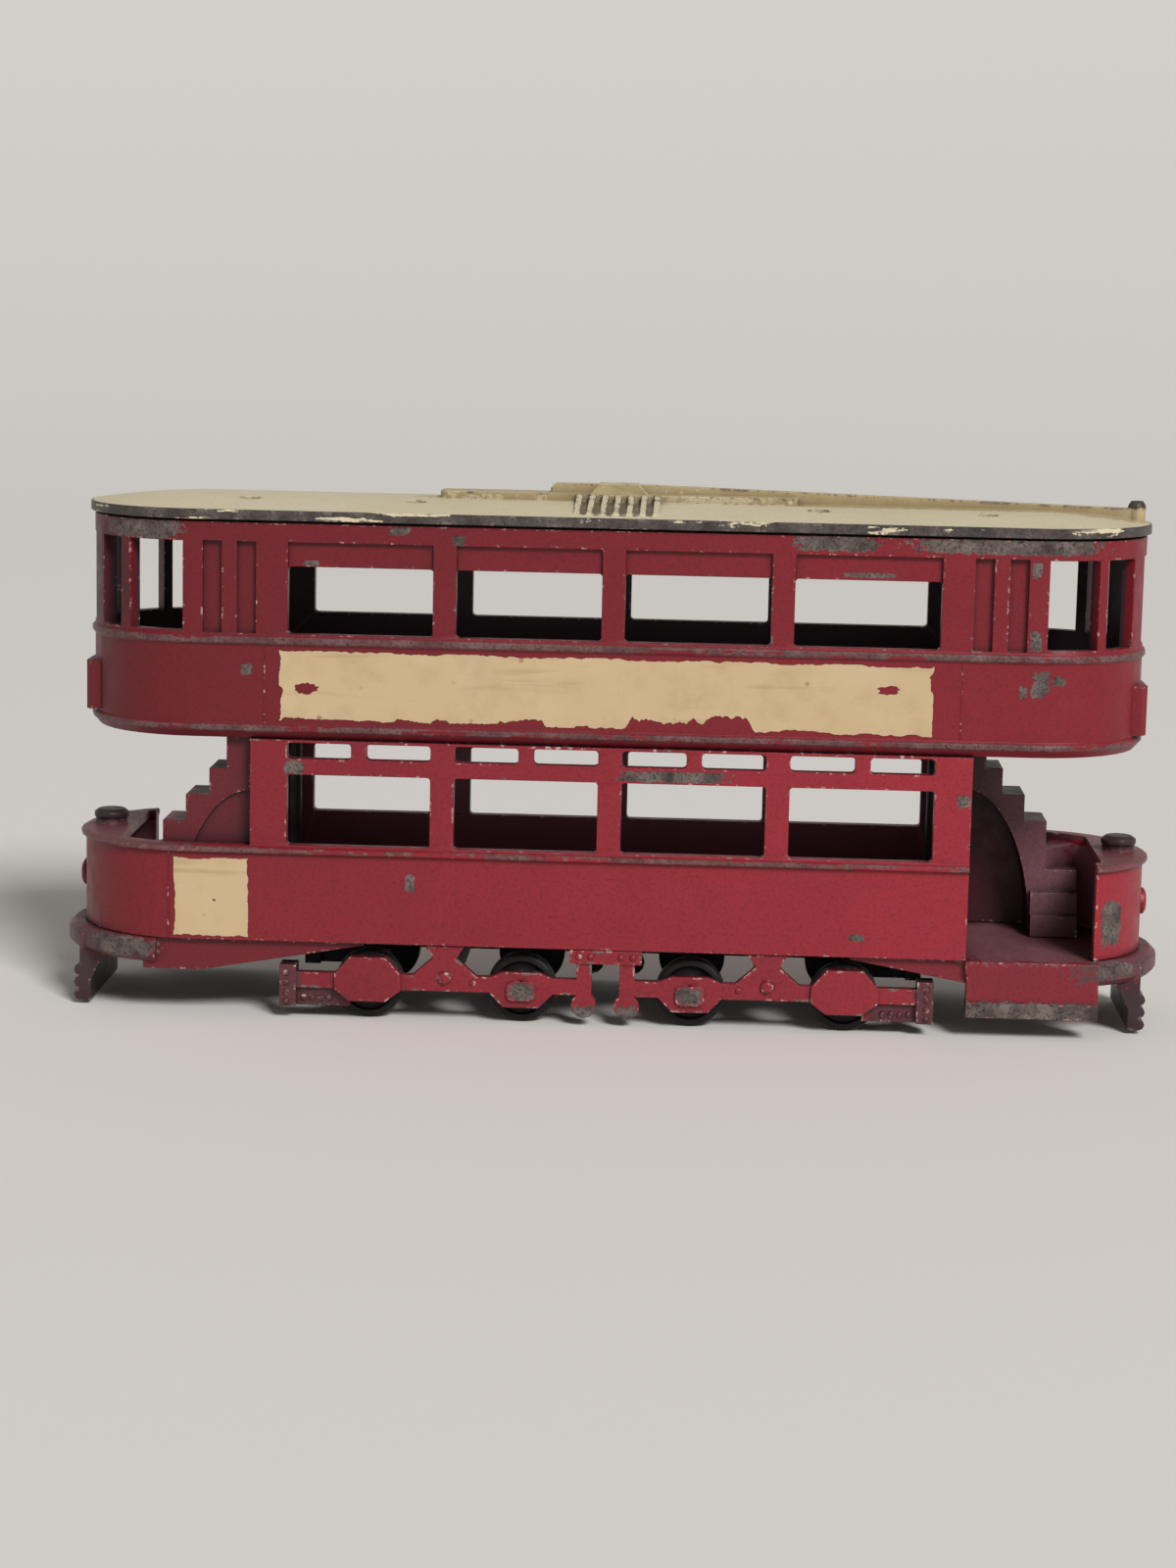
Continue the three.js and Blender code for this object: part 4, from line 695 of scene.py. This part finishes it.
def film_material(name, fresh, yellowed):
    """Lacquer film: flat cream, yellowed in clouds, foxed in specks, scuffed along its length."""
    material = bpy.data.materials.new(name)
    material.use_nodes = True
    tree = material.node_tree
    tree.nodes.clear()
    coordinates = add_node(tree, "ShaderNodeTexCoord", out="Object")
    clouds = add_node(tree, "ShaderNodeTexNoise", {
        "Vector": coordinates, "Scale": 1 / (4 * MM), "Detail": 5})
    # specks of foxing up to 0.5 mm across, in about a third of cells 1.6 mm wide
    cells = add_node(tree, "ShaderNodeTexVoronoi", {
        "Vector": coordinates, "Scale": 1 / (1.6 * MM)}, out=None)
    near = add_node(tree, "ShaderNodeMapRange", {
        "Value": cells.outputs["Distance"], "From Min": 0.16, "From Max": 0.08, "To Max": 0.7})
    chosen = add_node(tree, "ShaderNodeSeparateColor", {"Color": cells.outputs["Color"]}, out="Red")
    few = add_node(tree, "ShaderNodeMath", {0: chosen, 1: 0.62}, operation="GREATER_THAN")
    specks = add_node(tree, "ShaderNodeMath", {0: near, 1: few}, operation="MULTIPLY")
    stretched = add_node(tree, "ShaderNodeMapping", {"Vector": coordinates, "Scale": (80, 1, 900)})
    scuffs = add_node(tree, "ShaderNodeTexNoise", {"Vector": stretched, "Scale": 1, "Detail": 3})
    scuffed = add_node(tree, "ShaderNodeMapRange", {
        "Value": scuffs, "From Min": 0.6, "From Max": 0.72, "To Max": 0.4})
    # thumbed grey in smudges some 2.5 mm across
    thumbed = add_node(tree, "ShaderNodeTexNoise", {
        "Vector": coordinates, "Scale": 1 / (2.5 * MM), "Detail": 7, "Roughness": 0.65})
    smudged = add_node(tree, "ShaderNodeMapRange", {
        "Value": thumbed, "From Min": 0.5, "From Max": 0.72, "To Max": 0.3})
    colour = linear(fresh)
    for coat, mask in ((yellowed, clouds), ("#9c8058", smudged), ("#7a5a38", specks), ("#8d7350", scuffed)):
        colour = add_node(tree, "ShaderNodeMix", {"Factor": mask, "A": colour, "B": linear(coat)},
                          data_type="RGBA", out="Result")
    matt = add_node(tree, "ShaderNodeMapRange", {"Value": clouds, "To Min": 0.42, "To Max": 0.62})
    bump = add_node(tree, "ShaderNodeBump", {"Height": clouds, "Strength": 0.2, "Distance": 0.02 * MM})
    shader = add_node(tree, "ShaderNodeBsdfPrincipled", {
        "Base Color": colour, "Roughness": matt, "Normal": bump})
    add_node(tree, "ShaderNodeOutputMaterial", {"Surface": shader}, out=None)
    return material


transfer_film = film_material("yellowed transfer film", "#cbb591", "#bea278")
BANNER, DASH_BILL = ((-23.75, 21.8), (22.8, 26.85)), ((-31.3, 5.95), (-25.88, 11.7))
# losses are (from, to, depth) along each edge, numbered from the lower one
BANNER_LOSSES = {
    0: ((0.005, 0.04, 0.32), (0.18, 0.21, 0.35), (0.236, 0.262, 0.85), (0.335, 0.41, 0.5),
        (0.455, 0.478, 0.4), (0.53, 0.73, 1.05), (0.77, 0.83, 0.3)),
    1: ((0.62, 0.9, 0.6),),
    3: ((0.5, 0.72, 0.35),),
}
BANNER_HOLES = (((-21.78, 24.13), (0.85, 0.46)), ((19.64, 25.06), (0.82, 0.34)))
FILMS = (
    ("right_banner", BANNER, 3, 0.16, BANNER_LOSSES, BANNER_HOLES, DECK_STRAIGHT, False),
    ("left_banner", BANNER, 8, 0.2, {0: ((0.2, 0.33, 0.7),), 2: ((0.6, 0.66, 0.5),)},
     (((4.5, 24.9), (0.6, 0.4)),), DECK_STRAIGHT, True),
    ("right_dash_bill", DASH_BILL, 5, 0.14, {}, (((-28.35, 8.6), (0.12, 0.1)),), DASH_STRAIGHT, False),
    ("left_dash_bill", DASH_BILL, 11, 0.18, {2: ((0.1, 0.5, 0.5),)}, (), DASH_STRAIGHT, True),
)
for name, corners, seed, bite, losses, holes, half_length, turned_round in FILMS:
    work = transfer(corners, seed, bite, losses, holes)
    lay_film(work, half_length, SIDE, turned_round)
    mesh = bpy.data.meshes.new(name)
    work.to_mesh(mesh)
    work.free()
    mesh.materials.append(transfer_film)
    film = bpy.data.objects.new(name, mesh)
    scene.collection.objects.link(film)
    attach(film, "car_body")

# Stage
# A plain pale sweep of paper: a round floor that curves up all about.
# One soft lamp lights it from above and in front, and a weak even light comes from all round.
FLOOR_RADIUS, CURVE_RADIUS = 0.45, 2.0
SWEEP = [(0.0, 0.0), (0.15, 0.0), (0.3, 0.0), (FLOOR_RADIUS, 0.0)]
for degrees in range(2, 37, 2):
    turn = math.radians(degrees)
    SWEEP.append((FLOOR_RADIUS + CURVE_RADIUS * math.sin(turn), CURVE_RADIUS * (1 - math.cos(turn))))
sweep_mesh = bpy.data.meshes.new("sweep")
work = bmesh.new()
line = [work.verts.new((r, 0, z)) for r, z in SWEEP]
edges = [work.edges.new(pair) for pair in zip(line, line[1:])]
bmesh.ops.spin(work, geom=line + edges, cent=(0, 0, 0), axis=(0, 0, 1), angle=2 * math.pi, steps=96)
bmesh.ops.remove_doubles(work, verts=work.verts, dist=1e-5)
for face in work.faces:
    face.smooth = True
    if face.normal.z < 0 or face.normal.dot(face.calc_center_median().xy.to_3d()) > 0:
        face.normal_flip()
work.to_mesh(sweep_mesh)
work.free()
sweep = bpy.data.objects.new("sweep", sweep_mesh)
scene.collection.objects.link(sweep)
paper = bpy.data.materials.new("pale studio paper")
paper.use_nodes = True
paper.node_tree.nodes["Principled BSDF"].inputs["Base Color"].default_value = linear("#e2deda")
paper.node_tree.nodes["Principled BSDF"].inputs["Roughness"].default_value = 0.9
sweep_mesh.materials.append(paper)

world = bpy.data.worlds.new("studio")
scene.world = world
world.use_nodes = True
world.node_tree.nodes["Background"].inputs["Color"].default_value = linear("#f2efea")
world.node_tree.nodes["Background"].inputs["Strength"].default_value = 0.3

lamp = bpy.data.objects.new("key_light", bpy.data.lights.new("key_light", "AREA"))
lamp.data.size = 2.4
lamp.data.energy = 545.0
lamp.location = (3.0, -5.4, 5.0)
lamp.rotation_euler = (-lamp.location).to_track_quat("-Z", "Y").to_euler()
scene.collection.objects.link(lamp)
